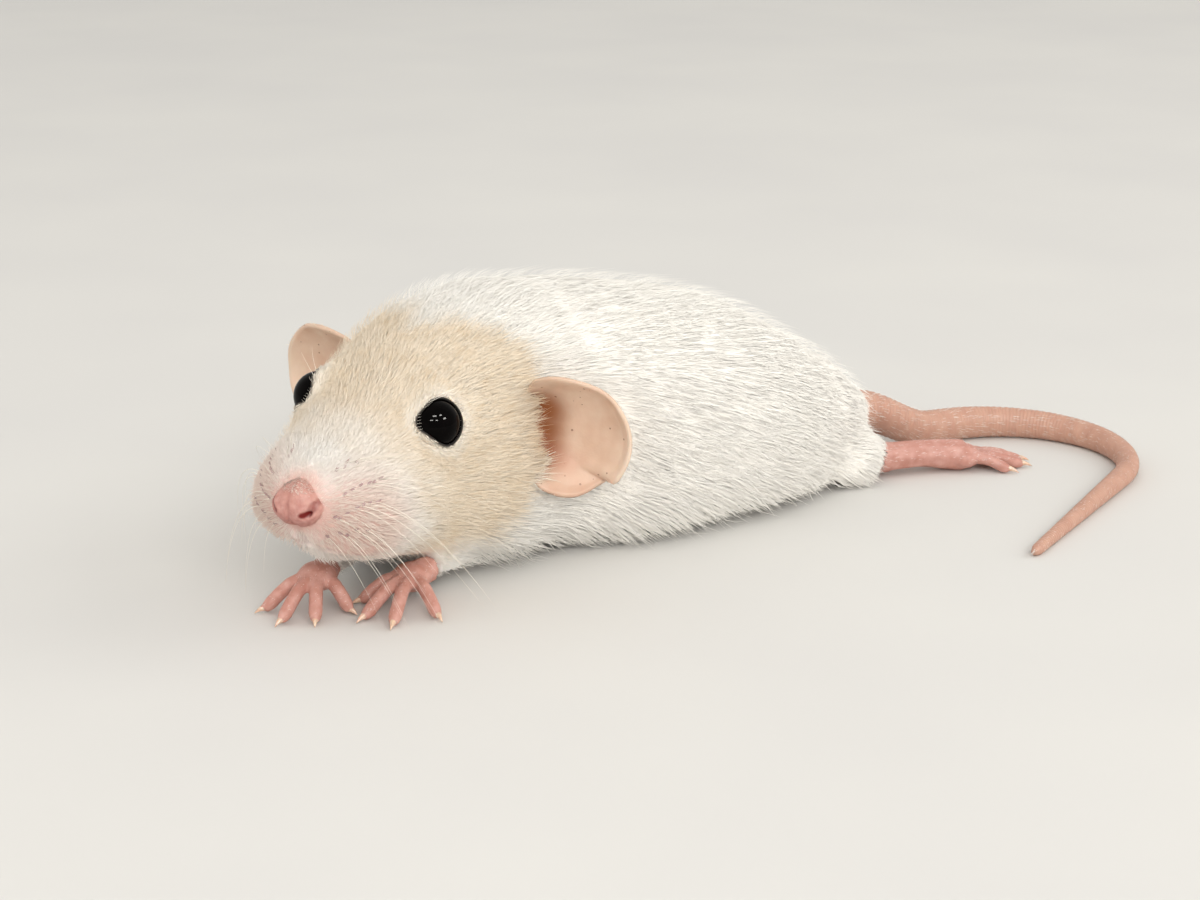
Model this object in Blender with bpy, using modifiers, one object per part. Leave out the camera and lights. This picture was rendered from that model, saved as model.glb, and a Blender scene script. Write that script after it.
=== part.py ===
"""A young dumbo pet rat, life size, lying flat with its chin over its forepaws.

The rat lies on the floor plane z = 0 with its head towards -X and its tail towards +X, and it looks
round to its left, towards -Y. The solids are the outer form of the animal with its coat on.
Everything is modelled in millimetres, and the last step turns each mesh to metres.

Positions on the animal are given along its back line: how far behind the nose tip, how far to the
animal's left of its middle line, and how high above the floor.
"""

import math

import bmesh
import bpy
import numpy as np
from mathutils import Matrix, Vector

MM = 0.001

# Driving sizes, in millimetres and degrees
GAP = 0.3  # air between two solids that touch
HEAD_YAW = 33.0  # how far the head is turned to the animal's left
HEAD_ROLL = 4.5  # how far its left side hangs
ROLL_HEIGHT = 18.0  # the height of the line that the head rolls about
HEAD_LENGTH = 44.5  # nose tip to the back of the skull
NECK_LENGTH = 10.0
TORSO_END = 112.5  # nose tip to the root of the tail, along the back line
BENT_FROM = 36.0  # the head's turn ends here
STRAIGHT_FROM = 64.0  # behind here the back line runs straight along X
ORIGIN_AT = 74.0  # the point of the back line that stands over the origin
TAIL_LENGTH = 100.0
EYE_RADIUS = 3.35
LID_RADIUS = 0.7
EAR_LENGTH = 16.1
EAR_HEIGHT = 16.0
EAR_THICKNESS = 0.8

# The coat's outline, station by station: distance behind the nose tip, half width, top, bottom and
# the height of the widest point
STATIONS = (
    ("tip", 0.6, 2.2, 19.8, 15.6, 18.0),
    ("nostrils", 1.6, 4.2, 21.0, 13.4, 17.4),
    ("upper lip", 3.4, 7.4, 22.4, 11.2, 16.2),
    ("whisker pads", 8.0, 10.6, 25.0, 8.8, 15.0),
    ("bridge of the nose", 12.6, 11.4, 27.8, 7.6, 15.4),
    ("corner of the eyes", 17.0, 12.0, 30.4, 6.8, 16.4),
    ("brow", 21.0, 13.0, 32.8, 5.6, 16.6),
    ("forehead", 26.5, 14.4, 35.2, 3.6, 15.8),
    ("cheeks", 33.0, 15.6, 36.8, 1.4, 14.0),
    ("back of the skull", 40.0, 16.7, 37.6, -0.2, 13.2),
    ("nape", 46.0, 18.4, 37.8, -0.6, 13.0),
    ("shoulders", 54.0, 20.4, 37.2, -1.4, 12.4),
    ("chest", 63.0, 21.8, 36.0, -1.6, 12.2),
    ("ribs", 73.0, 22.4, 34.2, -1.8, 12.0),
    ("loins", 83.0, 22.2, 31.8, -1.8, 11.4),
    ("hips", 92.0, 20.2, 27.8, -1.6, 10.8),
    ("rump", 100.5, 16.0, 22.6, -1.0, 10.0),
    ("seat", 107.0, 11.0, 17.2, 0.8, 9.0),
    ("tail root", 112.5, 4.5, 12.2, 3.4, 7.8),
)
UPPER_ROUNDNESS = 2.1  # exponent of the section's upper half, where 2 is an ellipse
LOWER_ROUNDNESS = (2.3, 3.1)  # at the nose, and from the cheeks back
SECTION_POINTS = 28

# Soft swellings of the face: place on the animal's left, reach and height
FACE_SWELLINGS = (
    ("orbit", (20.0, 10.2, 26.4), 4.6, 1.0),
    ("whisker pad", (6.8, 8.0, 15.0), 3.6, 0.7),
    ("cheek", (29.0, 14.0, 14.0), 6.5, 0.6),
    ("hollow behind the ear's mouth", (41.2, 14.8, 22.8), 4.8, -3.1),
    ("hollow before the eye", (13.5, 8.0, 24.0), 3.2, -0.4),
)
NOSE_PAD_AT = (1.7, 18.0)  # behind the tip and up
NOSE_PAD_HALF_SIZES = (2.8, 3.6, 2.9)
EYE_PLACE = (19.4, 8.9, 25.6)
EYE_GAZE = (-0.38, 0.80, 0.46)  # along the back line, to the left, up
EAR_PLACE = (35.8, 12.2, 22.8)
EAR_SWEEP = 18.0  # how far the ear points behind straight sideways
EAR_DROOP = 14.0  # how far it hangs below level

# Each forepaw: the middle of the palm, the wrist, and where the tips of its four toes rest
FOREPAWS = {
    "left": ((19.0, 5.6, 3.3), (22.6, 6.4, 3.6), ((14.2, 0.6), (9.2, 4.2), (9.0, 8.8), (14.0, 12.6))),
    "right": ((11.8, -4.4, 4.1), (15.8, -5.2, 4.0), ((10.6, 1.4), (5.2, -0.6), (3.2, -4.6), (5.8, -9.0))),
}
PALM_HALF_SIZES = (2.9, 2.7, 2.0)
TOE_RADIUS = 0.98
TOE_TIP_HEIGHT = 0.7
TOE_RISE = 0.9  # how far the knuckles stand above the palm
CLAW_LENGTH = 1.9
CLAW_RADIUS = 0.45
# Along each foreleg: a place on its middle line and its radius there
FORELEGS = {
    "left": (
        ((22.6, 6.4, 4.0), 1.9),
        ((29.0, 7.2, 3.8), 2.4),
        ((37.0, 9.0, 5.0), 3.4),
        ((46.0, 10.4, 8.6), 4.8),
    ),
    "right": (
        ((15.8, -5.2, 4.0), 1.9),
        ((23.0, -6.6, 3.9), 2.4),
        ((33.0, -8.4, 5.0), 3.4),
        ((45.0, -10.4, 8.6), 4.8),
    ),
}

# The hind legs are stretched back, the soles of the feet up
THIGH_PLACE = (98.0, 13.4, 7.2)
THIGH_HALF_SIZES = (13.0, 8.6, 9.8)
SHANK_HALF_SIZES = (10.5, 4.2, 4.6)
SHANK_LEFT = 11.2
SHANK_HEIGHT = 4.2
ANKLE = (111.0, 9.4, 3.0)
FOOT_LENGTH = 14.0  # heel to the roots of the toes
FOOT_SPLAY = 14.0
FOOT_RADIUS = 2.3
HIND_TOES = ((-34.0, 4.6), (-15.0, 7.0), (0.0, 7.6), (15.0, 7.2), (36.0, 5.2))  # turn, length

# The tail leaves the rump, comes down to the floor and curls round to the animal's left
TAIL_ROOT_RADIUS = 3.3
TAIL_TIP_RADIUS = 0.85
TAIL_STRAIGHT = 19.0
TAIL_BEND_RADIUS = 17.0
TAIL_BEND = 150.0
TAIL_DROP = 15.0  # the tail is down on the floor this far behind its root
TAIL_SINK = 0.12  # what the floor flattens off the tail's underside
TAIL_PARTS = (("tail_base", 0.0, 30.0), ("tail_middle", 30.0, 66.0), ("tail_tip", 66.0, TAIL_LENGTH))


def along_stations(column):
    """A smooth curve through one column of the stations that never overshoots them."""
    at = np.array([station[1] for station in STATIONS])
    value = np.array([station[column] for station in STATIONS])
    steps = np.diff(at)
    slopes = np.diff(value) / steps
    same_way = slopes[:-1] * slopes[1:] > 0
    mean = 2 * slopes[:-1] * slopes[1:] / np.where(same_way, slopes[:-1] + slopes[1:], 1)
    tangents = np.concatenate([[slopes[0]], np.where(same_way, mean, 0), [slopes[-1]]])

    def read(s):
        i = int(np.clip(np.searchsorted(at, s) - 1, 0, len(steps) - 1))
        t = (s - at[i]) / steps[i]
        rise = (3 - 2 * t) * t * t
        bend = steps[i] * t * (1 - t)
        ends = tangents[i] * (1 - t) - tangents[i + 1] * t
        return value[i] + (value[i + 1] - value[i]) * rise + bend * ends

    return read


half_width = along_stations(2)
top_height = along_stations(3)
bottom_height = along_stations(4)
widest_height = along_stations(5)


def yaw_at(s):
    """The turn of the back line, in radians, s behind the nose tip."""
    t = min(1.0, max(0.0, (s - BENT_FROM) / (STRAIGHT_FROM - BENT_FROM)))
    return math.radians(HEAD_YAW) * (1 - t * t * (3 - 2 * t))


def roll_at(s):
    """How far the body is rolled to its left at s, in radians. Only the head and neck are."""
    return math.radians(HEAD_ROLL) * yaw_at(s) / math.radians(HEAD_YAW)


def back_line():
    """Points of the back line on the floor, one each millimetre, with the origin under ORIGIN_AT."""
    points = [Vector((0, 0, 0))]
    for s in range(int(TORSO_END) + 40):
        yaw = yaw_at(s + 0.5)
        points.append(points[-1] + Vector((math.cos(yaw), math.sin(yaw), 0)))
    origin = points[int(ORIGIN_AT)].copy()
    return [point - origin for point in points]


BACK_LINE = back_line()


def stand(s, left, height):
    """The point in space that is s behind the nose tip, left of the middle line and this high."""
    i = max(0, min(len(BACK_LINE) - 2, int(s)))
    on_line = BACK_LINE[i].lerp(BACK_LINE[i + 1], s - i)
    yaw = yaw_at(s)
    return on_line + Vector((math.sin(yaw), -math.cos(yaw), 0)) * left + Vector((0, 0, height))


def place(s, left, height):
    """The same point carried along by the roll of the head."""
    c, n = math.cos(roll_at(s)), math.sin(roll_at(s))
    rise = height - ROLL_HEIGHT
    return stand(s, left * c + rise * n, ROLL_HEIGHT + rise * c - left * n)


def direction(s, back, left, up):
    """A unit vector given along the back line, to the animal's left and up, as they run at s."""
    c, n = math.cos(roll_at(s)), math.sin(roll_at(s))
    left, up = left * c + up * n, up * c - left * n
    yaw = yaw_at(s)
    backward = Vector((math.cos(yaw), math.sin(yaw), 0))
    leftward = Vector((math.sin(yaw), -math.cos(yaw), 0))
    return (backward * back + leftward * left + Vector((0, 0, up))).normalized()


def new_object(name, mesh):
    obj = bpy.data.objects.new(name, mesh)
    bpy.context.scene.collection.objects.link(obj)
    return obj


def from_bmesh(name, bm):
    bm.normal_update()
    bmesh.ops.recalc_face_normals(bm, faces=bm.faces)
    mesh = bpy.data.meshes.new(name)
    bm.to_mesh(mesh)
    bm.free()
    return new_object(name, mesh)


def swelling(s, left, height):
    """How far the swellings of the face move the skin out at a point, alike on both sides."""
    push = 0.0
    for _, centre, reach, size in FACE_SWELLINGS:
        far = math.dist((s, left, height), centre) / reach
        push += size * math.exp(-far * far)
    return push


def section(s, grow):
    """One cross-section of the coat at s, made bigger by grow."""
    boxy = min(1.0, max(0.0, s / 33.0))
    lower = LOWER_ROUNDNESS[0] + (LOWER_ROUNDNESS[1] - LOWER_ROUNDNESS[0]) * boxy
    wide = half_width(s) + grow
    middle = widest_height(s)
    up = top_height(s) - middle + grow
    down = middle - bottom_height(s) + grow
    ring = []
    for k in range(SECTION_POINTS):
        angle = 2 * math.pi * (k + 0.5) / SECTION_POINTS
        c, n = math.cos(angle), math.sin(angle)
        power = 2 / (UPPER_ROUNDNESS if n > 0 else lower)
        side = math.copysign(abs(c) ** power, c) * wide
        rise = math.copysign(abs(n) ** power, n) * (up if n > 0 else down)
        swell = 1 + swelling(s, abs(side), middle + rise) / math.hypot(side, rise)
        ring.append(place(s, side * swell, middle + rise * swell))
    return ring


def body_length(name, start, end, step, grow=0.0):
    """A closed length of the body between two stations, capped flat at both ends."""
    bm = bmesh.new()
    count = max(2, round((end - start) / step))
    rings = []
    for i in range(count + 1):
        s = start + (end - start) * i / count
        rings.append([bm.verts.new(point) for point in section(s, grow)])
    for near, far in zip(rings, rings[1:]):
        for k in range(SECTION_POINTS):
            after = (k + 1) % SECTION_POINTS
            bm.faces.new((near[k], near[after], far[after], far[k]))
    bm.faces.new(rings[0])
    bm.faces.new(rings[-1])
    return from_bmesh(name, bm)


def ellipsoid(name, centre, half_sizes, turn=0.0, segments=16, rings=10):
    bm = bmesh.new()
    bmesh.ops.create_uvsphere(bm, u_segments=segments, v_segments=rings, radius=1.0)
    scale = Matrix.Diagonal((*half_sizes, 1))
    shift = Matrix.Translation(centre)
    bm.transform(shift @ Matrix.Rotation(turn, 4, "Z") @ scale)
    return from_bmesh(name, bm)


def ball(name, centre, radius, axis, segments=20, rings=12):
    """A sphere whose poles lie on an axis."""
    bm = bmesh.new()
    bmesh.ops.create_uvsphere(bm, u_segments=segments, v_segments=rings, radius=radius)
    turn = axis.to_track_quat("Z", "Y").to_matrix().to_4x4()
    bm.transform(Matrix.Translation(centre) @ turn)
    return from_bmesh(name, bm)


def tube(name, points, radii, resolution=2):
    """A bevelled curve with a radius at each point, made a closed mesh."""
    curve = bpy.data.curves.new(name, "CURVE")
    curve.dimensions = "3D"
    curve.bevel_depth = 1.0
    curve.bevel_resolution = resolution
    curve.use_fill_caps = True
    spline = curve.splines.new("POLY")
    spline.points.add(len(points) - 1)
    for knot, point, radius in zip(spline.points, points, radii):
        knot.co = (*point, 1)
        knot.radius = radius
    guide = new_object(name + "_curve", curve)
    bpy.context.view_layer.update()
    graph = bpy.context.evaluated_depsgraph_get()
    mesh = bpy.data.meshes.new_from_object(guide.evaluated_get(graph))
    bpy.data.objects.remove(guide)
    bm = bmesh.new()
    bm.from_mesh(mesh)
    bpy.data.meshes.remove(mesh)
    bmesh.ops.remove_doubles(bm, verts=bm.verts, dist=0.001)
    return from_bmesh(name, bm)


def smooth_path(knots, radii, steps):
    """Points and radii on a smooth curve through the knots."""
    ends = [knots[0] * 2 - knots[1], *knots, knots[-1] * 2 - knots[-2]]
    points, sizes = [], []
    for i in range(len(knots) - 1):
        p0, p1, p2, p3 = ends[i : i + 4]
        for step in range(steps):
            t = step / steps
            bend = (p2 - p0) * t + (p0 * 2 - p1 * 5 + p2 * 4 - p3) * t * t
            points.append((p1 * 2 + bend + (p1 * 3 - p0 - p2 * 3 + p3) * t**3) / 2)
            sizes.append(radii[i] + (radii[i + 1] - radii[i]) * t)
    return [*points, knots[-1]], [*sizes, radii[-1]]


def applied(obj):
    """Bakes an object's modifiers into its mesh."""
    graph = bpy.context.evaluated_depsgraph_get()
    mesh = bpy.data.meshes.new_from_object(obj.evaluated_get(graph))
    obj.modifiers.clear()
    old = obj.data
    obj.data = mesh
    bpy.data.meshes.remove(old)
    return obj


def boolean(obj, others, operation):
    """Joins the other objects to this one, or cuts or trims it with them, and removes them."""
    group = bpy.data.collections.new("pieces")
    bpy.context.scene.collection.children.link(group)
    for other in others:
        bpy.context.scene.collection.objects.unlink(other)
        group.objects.link(other)
    modifier = obj.modifiers.new(operation.title(), "BOOLEAN")
    modifier.operation = operation
    modifier.operand_type = "COLLECTION"
    modifier.collection = group
    modifier.solver = "EXACT"
    applied(obj)
    for other in others:
        bpy.data.objects.remove(other)
    bpy.data.collections.remove(group)
    return obj


def keep_largest(obj):
    """Leaves only the largest closed surface of a mesh."""
    bm = bmesh.new()
    bm.from_mesh(obj.data)
    bmesh.ops.triangulate(bm, faces=bm.faces)
    bmesh.ops.remove_doubles(bm, verts=bm.verts, dist=0.0005)
    bmesh.ops.dissolve_degenerate(bm, edges=bm.edges, dist=0.0005)
    left = set(bm.verts)
    pieces = []
    while left:
        piece, edge = set(), [left.pop()]
        while edge:
            vert = edge.pop()
            piece.add(vert)
            near = [e.other_vert(vert) for e in vert.link_edges]
            edge += [v for v in near if v in left]
            left.difference_update(near)
        pieces.append(piece)
    pieces.sort(key=len)
    drop = [vert for piece in pieces[:-1] for vert in piece]
    bmesh.ops.delete(bm, geom=drop, context="VERTS")
    bm.to_mesh(obj.data)
    bm.free()
    return obj


def floor_block():
    """What lies under the floor plane, to flatten the undersides with."""
    bm = bmesh.new()
    bmesh.ops.create_cube(bm, size=1.0)
    bm.transform(Matrix.Translation((0, 0, -20)) @ Matrix.Diagonal((400, 400, 40, 1)))
    return from_bmesh("under_the_floor", bm)


def flattened(obj):
    return keep_largest(boolean(obj, [floor_block()], "DIFFERENCE"))


def eye_centre(side):
    s, left, height = EYE_PLACE
    return place(s, side * left, height)


def eye_gaze(side):
    back, left, up = EYE_GAZE
    return direction(EYE_PLACE[0], back, side * left, up)


def eyeball(name, side, grow=0.0):
    return ball(name, eye_centre(side), EYE_RADIUS + grow, eye_gaze(side))


def eyelids(side):
    """A ring of skin round the eyeball, drawn out to a corner towards the nose."""
    gaze = eye_gaze(side)
    toward_nose = direction(EYE_PLACE[0], -1, 0, -0.35)
    forward = (toward_nose - gaze * toward_nose.dot(gaze)).normalized()
    upward = gaze.cross(forward)
    knots, radii = [], []
    count = 18
    for k in range(count + 1):
        angle = 2 * math.pi * k / count
        corner = max(0.0, math.cos(angle)) ** 6
        reach = EYE_RADIUS - 0.05 + 0.6 * corner
        lift = 1.15 - 0.7 * corner
        around = forward * math.cos(angle) * reach + upward * math.sin(angle) * reach * 0.96
        knots.append(eye_centre(side) + gaze * lift + around)
        radii.append(LID_RADIUS)
    return tube("eyelids", knots, radii)


def nose_pad():
    s, height = NOSE_PAD_AT
    return ellipsoid("nose_pad", place(s, 0, height), NOSE_PAD_HALF_SIZES, yaw_at(s), 18, 12)


def nostril(side):
    """A comma-shaped pit that runs out and up from the front of the nose pad."""
    knots = [place(-1.9, side * 1.2, 17.3), place(-0.6, side * 2.1, 17.2), place(1.2, side * 3.9, 18.3)]
    points, radii = smooth_path(knots, [0.72, 0.7, 0.45], 3)
    return tube("nostril", points, radii)


def mouth_line(side):
    """The groove between the upper lip and the lower jaw."""
    knots = [place(3.2, 0, 11.8), place(5.0, side * 3.6, 10.4), place(9.4, side * 6.6, 9.4)]
    knots.append(place(13.6, side * 8.6, 9.8))
    points, radii = smooth_path(knots, [0.5, 0.5, 0.45, 0.3], 3)
    return tube("mouth_line", points, radii)


def philtrum():
    """The cleft that runs down from between the nostrils to the lip."""
    knots = [place(-1.6, 0, 17.0), place(0.2, 0, 14.4), place(3.2, 0, 11.7)]
    points, radii = smooth_path(knots, [0.25, 0.4, 0.5], 3)
    return tube("philtrum", points, radii)


def lower_jaw():
    knots = [place(8.2, 0, 9.7), place(12.0, 0, 10.0), place(18.0, 0, 10.8)]
    points, radii = smooth_path(knots, [2.0, 3.4, 5.6], 4)
    jaw = tube("lower_jaw", points, radii)
    tip = ball("jaw_tip", knots[0], 2.05, direction(0, 1, 0, 0), 12, 8)
    return [jaw, tip]


def foreleg_tube(name, side_name, grow=0.0):
    knots = [stand(*point) for point, _ in FORELEGS[side_name]]
    radii = [radius + grow for _, radius in FORELEGS[side_name]]
    points, radii = smooth_path(knots, radii, 4)
    if grow:
        points[0] = points[0] + (points[0] - points[1]).normalized() * grow
    return tube(name, points, radii)


def make_head():
    head = body_length("head", STATIONS[0][1], HEAD_LENGTH - GAP / 2, 1.6)
    boolean(head, [nose_pad(), *lower_jaw(), eyelids(1), eyelids(-1)], "UNION")
    cuts = [eyeball("socket", side, GAP) for side in (1, -1)]
    cuts += [nostril(side) for side in (1, -1)]
    cuts += [mouth_line(side) for side in (1, -1)]
    cuts.append(philtrum())
    boolean(head, cuts, "DIFFERENCE")
    boolean(head, [foreleg_tube("room", side, GAP) for side in FORELEGS], "DIFFERENCE")
    return flattened(head)


def make_neck():
    neck = body_length("neck", HEAD_LENGTH + GAP / 2, HEAD_LENGTH + NECK_LENGTH - GAP / 2, 2.4)
    boolean(neck, [foreleg_tube("room", side, GAP) for side in FORELEGS], "DIFFERENCE")
    return flattened(neck)


def thigh(name, side, grow=0.0):
    s, left, height = THIGH_PLACE
    sizes = [size + grow for size in THIGH_HALF_SIZES]
    return ellipsoid(name, place(s, side * left, height), sizes, segments=20, rings=14)


def make_torso():
    torso = body_length("torso", HEAD_LENGTH + NECK_LENGTH + GAP / 2, TORSO_END, 2.7)
    boolean(torso, [thigh("room", side, GAP) for side in (1, -1)], "DIFFERENCE")
    boolean(torso, [foreleg_tube("room", side, GAP) for side in FORELEGS], "DIFFERENCE")
    return flattened(torso)


def make_foreleg(side_name):
    return flattened(foreleg_tube("foreleg_" + side_name, side_name))


def toe(root, tip, rise, radius):
    """A toe that arches from the paw to its tip, with its claw."""
    middle = root.lerp(tip, 0.42) + Vector((0, 0, rise))
    pad = root.lerp(tip, 0.86) + Vector((0, 0, rise * 0.12))
    radii = [radius * 1.12, radius, radius * 0.98, radius * 0.55]
    points, radii = smooth_path([root, middle, pad, tip], radii, 2)
    flesh = tube("toe", points, radii)
    out = (tip - pad).normalized()
    start = tip - out * 0.9
    point = start + out * (CLAW_LENGTH + 0.4)
    point.z = max(0.18, point.z - 0.1)
    middle = start.lerp(point, 0.5) + Vector((0, 0, 0.3))
    claw = tube("claw", [start, middle, point], [CLAW_RADIUS, CLAW_RADIUS * 0.75, 0.08], 1)
    return [flesh, claw]


def make_forepaw(side_name):
    palm_at, wrist, tips = FOREPAWS[side_name]
    centre = stand(*palm_at)
    paw = ellipsoid("forepaw_" + side_name, centre, PALM_HALF_SIZES, yaw_at(0), 14, 8)
    pieces = [tube("wrist", [stand(*wrist), centre], [1.9, 2.0])]
    for s, left in tips:
        tip = stand(s, left, TOE_TIP_HEIGHT)
        out = (tip - centre).normalized()
        root = centre + Vector((out.x, out.y, 0)) * 1.2
        pieces += toe(root, tip, TOE_RISE, TOE_RADIUS)
    boolean(paw, pieces, "UNION")
    return flattened(boolean(paw, [foreleg_tube("room", side_name, GAP)], "DIFFERENCE"))


def foot_direction(side, turn=0.0):
    """Where the stretched hind foot points, turned outwards by turn degrees."""
    angle = math.radians(FOOT_SPLAY + turn)
    return direction(ANKLE[0], math.cos(angle), side * math.sin(angle), 0)


def ankle_at(side):
    s, left, height = ANKLE
    return place(s, side * left, height)


def make_hindleg(name, side):
    """The thigh within the coat of the rump, and the shank that runs back from it to the ankle."""
    leg = body_length(name, HEAD_LENGTH + NECK_LENGTH, TORSO_END, 2.7)
    boolean(leg, [thigh("limits", side)], "INTERSECT")
    shank_at = place(ANKLE[0] - SHANK_HALF_SIZES[0] * 0.8, side * SHANK_LEFT, SHANK_HEIGHT)
    along = ankle_at(side) - shank_at
    turn = math.atan2(along.y, along.x)
    boolean(leg, [ellipsoid("shank", shank_at, SHANK_HALF_SIZES, turn, 20, 14)], "UNION")
    body = body_length("room", HEAD_LENGTH + NECK_LENGTH, TORSO_END + GAP, 2.7, GAP)
    boolean(body, [thigh("kept", side, GAP)], "DIFFERENCE")
    boolean(leg, [body, heel(side, GAP)], "DIFFERENCE")
    return flattened(leg)


def heel(side, grow=0.0):
    back = foot_direction(side)
    centre = ankle_at(side) + back * 1.0
    sizes = (3.4 + grow, 2.5 + grow, 2.4 + grow)
    turn = math.atan2(back.y, back.x)
    return ellipsoid("heel", centre, sizes, turn, 14, 8)


def make_hindfoot(name, side):
    back = foot_direction(side)
    ankle = ankle_at(side)
    ball_of_foot = ankle + back * FOOT_LENGTH
    ball_of_foot.z = 2.2
    foot = heel(side)
    foot.name = name
    knots = [ankle + back * 1.5, ankle + back * FOOT_LENGTH * 0.55, ball_of_foot]
    points, radii = smooth_path(knots, [FOOT_RADIUS, FOOT_RADIUS * 0.95, FOOT_RADIUS * 1.12], 4)
    pieces = [tube("instep", points, radii)]
    turn = math.atan2(back.y, back.x)
    pieces.append(ellipsoid("foot_pad", ball_of_foot, (2.9, 3.5, 1.9), turn, 14, 8))
    for fan, length in HIND_TOES:
        way = foot_direction(side, fan)
        root = ball_of_foot + way * 1.6
        root.z = 1.9
        tip = ball_of_foot + way * (length + 2.4)
        tip.z = TOE_TIP_HEIGHT
        pieces += toe(root, tip, 0.5, TOE_RADIUS * 0.95)
    return flattened(boolean(foot, pieces, "UNION"))


def tail_radius(t):
    share = t / TAIL_LENGTH
    return TAIL_ROOT_RADIUS + (TAIL_TIP_RADIUS - TAIL_ROOT_RADIUS) * share**0.85


def tail_point(t):
    """The tail's middle line, t behind its root."""
    bend_length = TAIL_BEND_RADIUS * math.radians(TAIL_BEND)
    turned = min(max(t - TAIL_STRAIGHT, 0), bend_length) / TAIL_BEND_RADIUS
    after = max(0, t - TAIL_STRAIGHT - bend_length)
    back = min(t, TAIL_STRAIGHT) + TAIL_BEND_RADIUS * math.sin(turned) + after * math.cos(turned)
    left = TAIL_BEND_RADIUS * (1 - math.cos(turned)) + after * math.sin(turned)
    down = min(1.0, t / TAIL_DROP)
    ease = down * down * (3 - 2 * down)
    root_height = widest_height(TORSO_END)
    height = root_height + (tail_radius(t) - TAIL_SINK - root_height) * ease
    return place(TORSO_END + GAP + back, left, height)


def make_tail_part(name, start, end):
    start += GAP / 2 if start else 0
    stop = end - GAP / 2
    count = round((stop - start) / 2.4)
    places = [start + (stop - start) * i / count for i in range(count + 1)]
    places[1:1] = [start + GAP]
    places[-1:-1] = [stop - GAP]
    if end == TAIL_LENGTH:
        places.append(TAIL_LENGTH + 0.5)
    points = [tail_point(t) for t in places]
    radii = [tail_radius(min(t, TAIL_LENGTH)) for t in places]
    if end == TAIL_LENGTH:
        radii[-1] *= 0.5
    return flattened(tube(name, points, radii, 3))


def ear_surface(u, v):
    """How far the ear's cupped leaf stands forward at u out from the head and v up it."""
    out, high = u / EAR_LENGTH, 2 * v / EAR_HEIGHT
    rim = min(1.0, math.hypot((out - 0.5) * 2, high))
    cup = -3.2 * (1 - rim**2) - 1.8 * math.exp(-((out / 0.3) ** 2)) * (1 - high * high)
    cup += 3.4 * max(0.0, 1 - out / 0.7) ** 1.5 * min(1.0, high * high)
    lobe = max(0.0, -high - 0.45) * max(0.0, 1 - abs(out - 0.55) * 2.0)
    return cup + 3.2 * lobe


def make_ear(name, side):
    """A round, thin, cupped leaf of skin, cut to meet the side of the head."""
    bm = bmesh.new()
    bmesh.ops.create_uvsphere(bm, u_segments=26, v_segments=12, radius=1.0)
    below = [vert for vert in bm.verts if vert.co.z < -1e-4]
    bmesh.ops.delete(bm, geom=below, context="VERTS")
    sweep, droop = math.radians(EAR_SWEEP), math.radians(EAR_DROOP)
    s = EAR_PLACE[0]
    flat_out = direction(s, math.sin(sweep), side * math.cos(sweep), 0)
    out = (flat_out * math.cos(droop) - Vector((0, 0, 1)) * math.sin(droop)).normalized()
    up = (Vector((0, 0, 1)) * math.cos(droop) + flat_out * math.sin(droop)).normalized()
    facing = out.cross(up) * side
    root = place(s, side * EAR_PLACE[1], EAR_PLACE[2])
    for vert in bm.verts:
        rim = math.acos(min(1.0, vert.co.z)) / (math.pi / 2)
        angle = math.atan2(vert.co.y, vert.co.x)
        u = EAR_LENGTH * (0.5 + 0.5 * rim * math.cos(angle))
        v = EAR_HEIGHT * 0.5 * rim * math.sin(angle)
        vert.co = root + out * u + up * v + facing * ear_surface(u, v)
    ear = from_bmesh(name, bm)
    wall = ear.modifiers.new("Wall", "SOLIDIFY")
    wall.thickness = EAR_THICKNESS
    wall.offset = 0
    applied(ear)
    room = body_length("room", STATIONS[0][1], HEAD_LENGTH + 1.5 * NECK_LENGTH, 1.45, GAP)
    boolean(ear, [room], "DIFFERENCE")
    return keep_largest(ear)


def material(name, colour, roughness):
    found = bpy.data.materials.get(name)
    if found is None:
        found = bpy.data.materials.new(name)
        found.use_nodes = True
        shader = found.node_tree.nodes["Principled BSDF"]
        shader.inputs["Base Color"].default_value = (*colour, 1)
        shader.inputs["Roughness"].default_value = roughness
        shader.inputs["Metallic"].default_value = 0
    return found


CREAM_COAT = ("cream coat", (0.80, 0.66, 0.47), 0.8)
WHITE_COAT = ("white coat", (0.90, 0.88, 0.82), 0.8)
PINK_SKIN = ("pink skin", (0.74, 0.46, 0.40), 0.5)
EAR_SKIN = ("ear skin", (0.76, 0.53, 0.42), 0.5)
BLACK_EYE = ("black eye", (0.01, 0.01, 0.01), 0.08)


def finish(obj, kind, collection):
    """Turns a finished solid to metres and gives it its material."""
    obj.data.transform(Matrix.Scale(MM, 4))
    obj.data.shade_smooth()
    obj.data.set_sharp_from_angle(angle=math.radians(50))
    obj.data.materials.clear()
    obj.data.materials.append(material(*kind))
    bpy.context.scene.collection.objects.unlink(obj)
    collection.objects.link(obj)


def main():
    for obj in list(bpy.data.objects):
        bpy.data.objects.remove(obj)
    rat = bpy.data.collections.new("pet_rat")
    bpy.context.scene.collection.children.link(rat)
    finish(make_head(), CREAM_COAT, rat)
    finish(make_neck(), WHITE_COAT, rat)
    finish(make_torso(), WHITE_COAT, rat)
    for side_name, side in (("left", 1), ("right", -1)):
        finish(eyeball("eye_" + side_name, side), BLACK_EYE, rat)
        finish(make_ear("ear_" + side_name, side), EAR_SKIN, rat)
        finish(make_foreleg(side_name), WHITE_COAT, rat)
        finish(make_forepaw(side_name), PINK_SKIN, rat)
        finish(make_hindleg("hindleg_" + side_name, side), WHITE_COAT, rat)
        finish(make_hindfoot("hindfoot_" + side_name, side), PINK_SKIN, rat)
    for name, start, end in TAIL_PARTS:
        finish(make_tail_part(name, start, end), PINK_SKIN, rat)


main()
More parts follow.
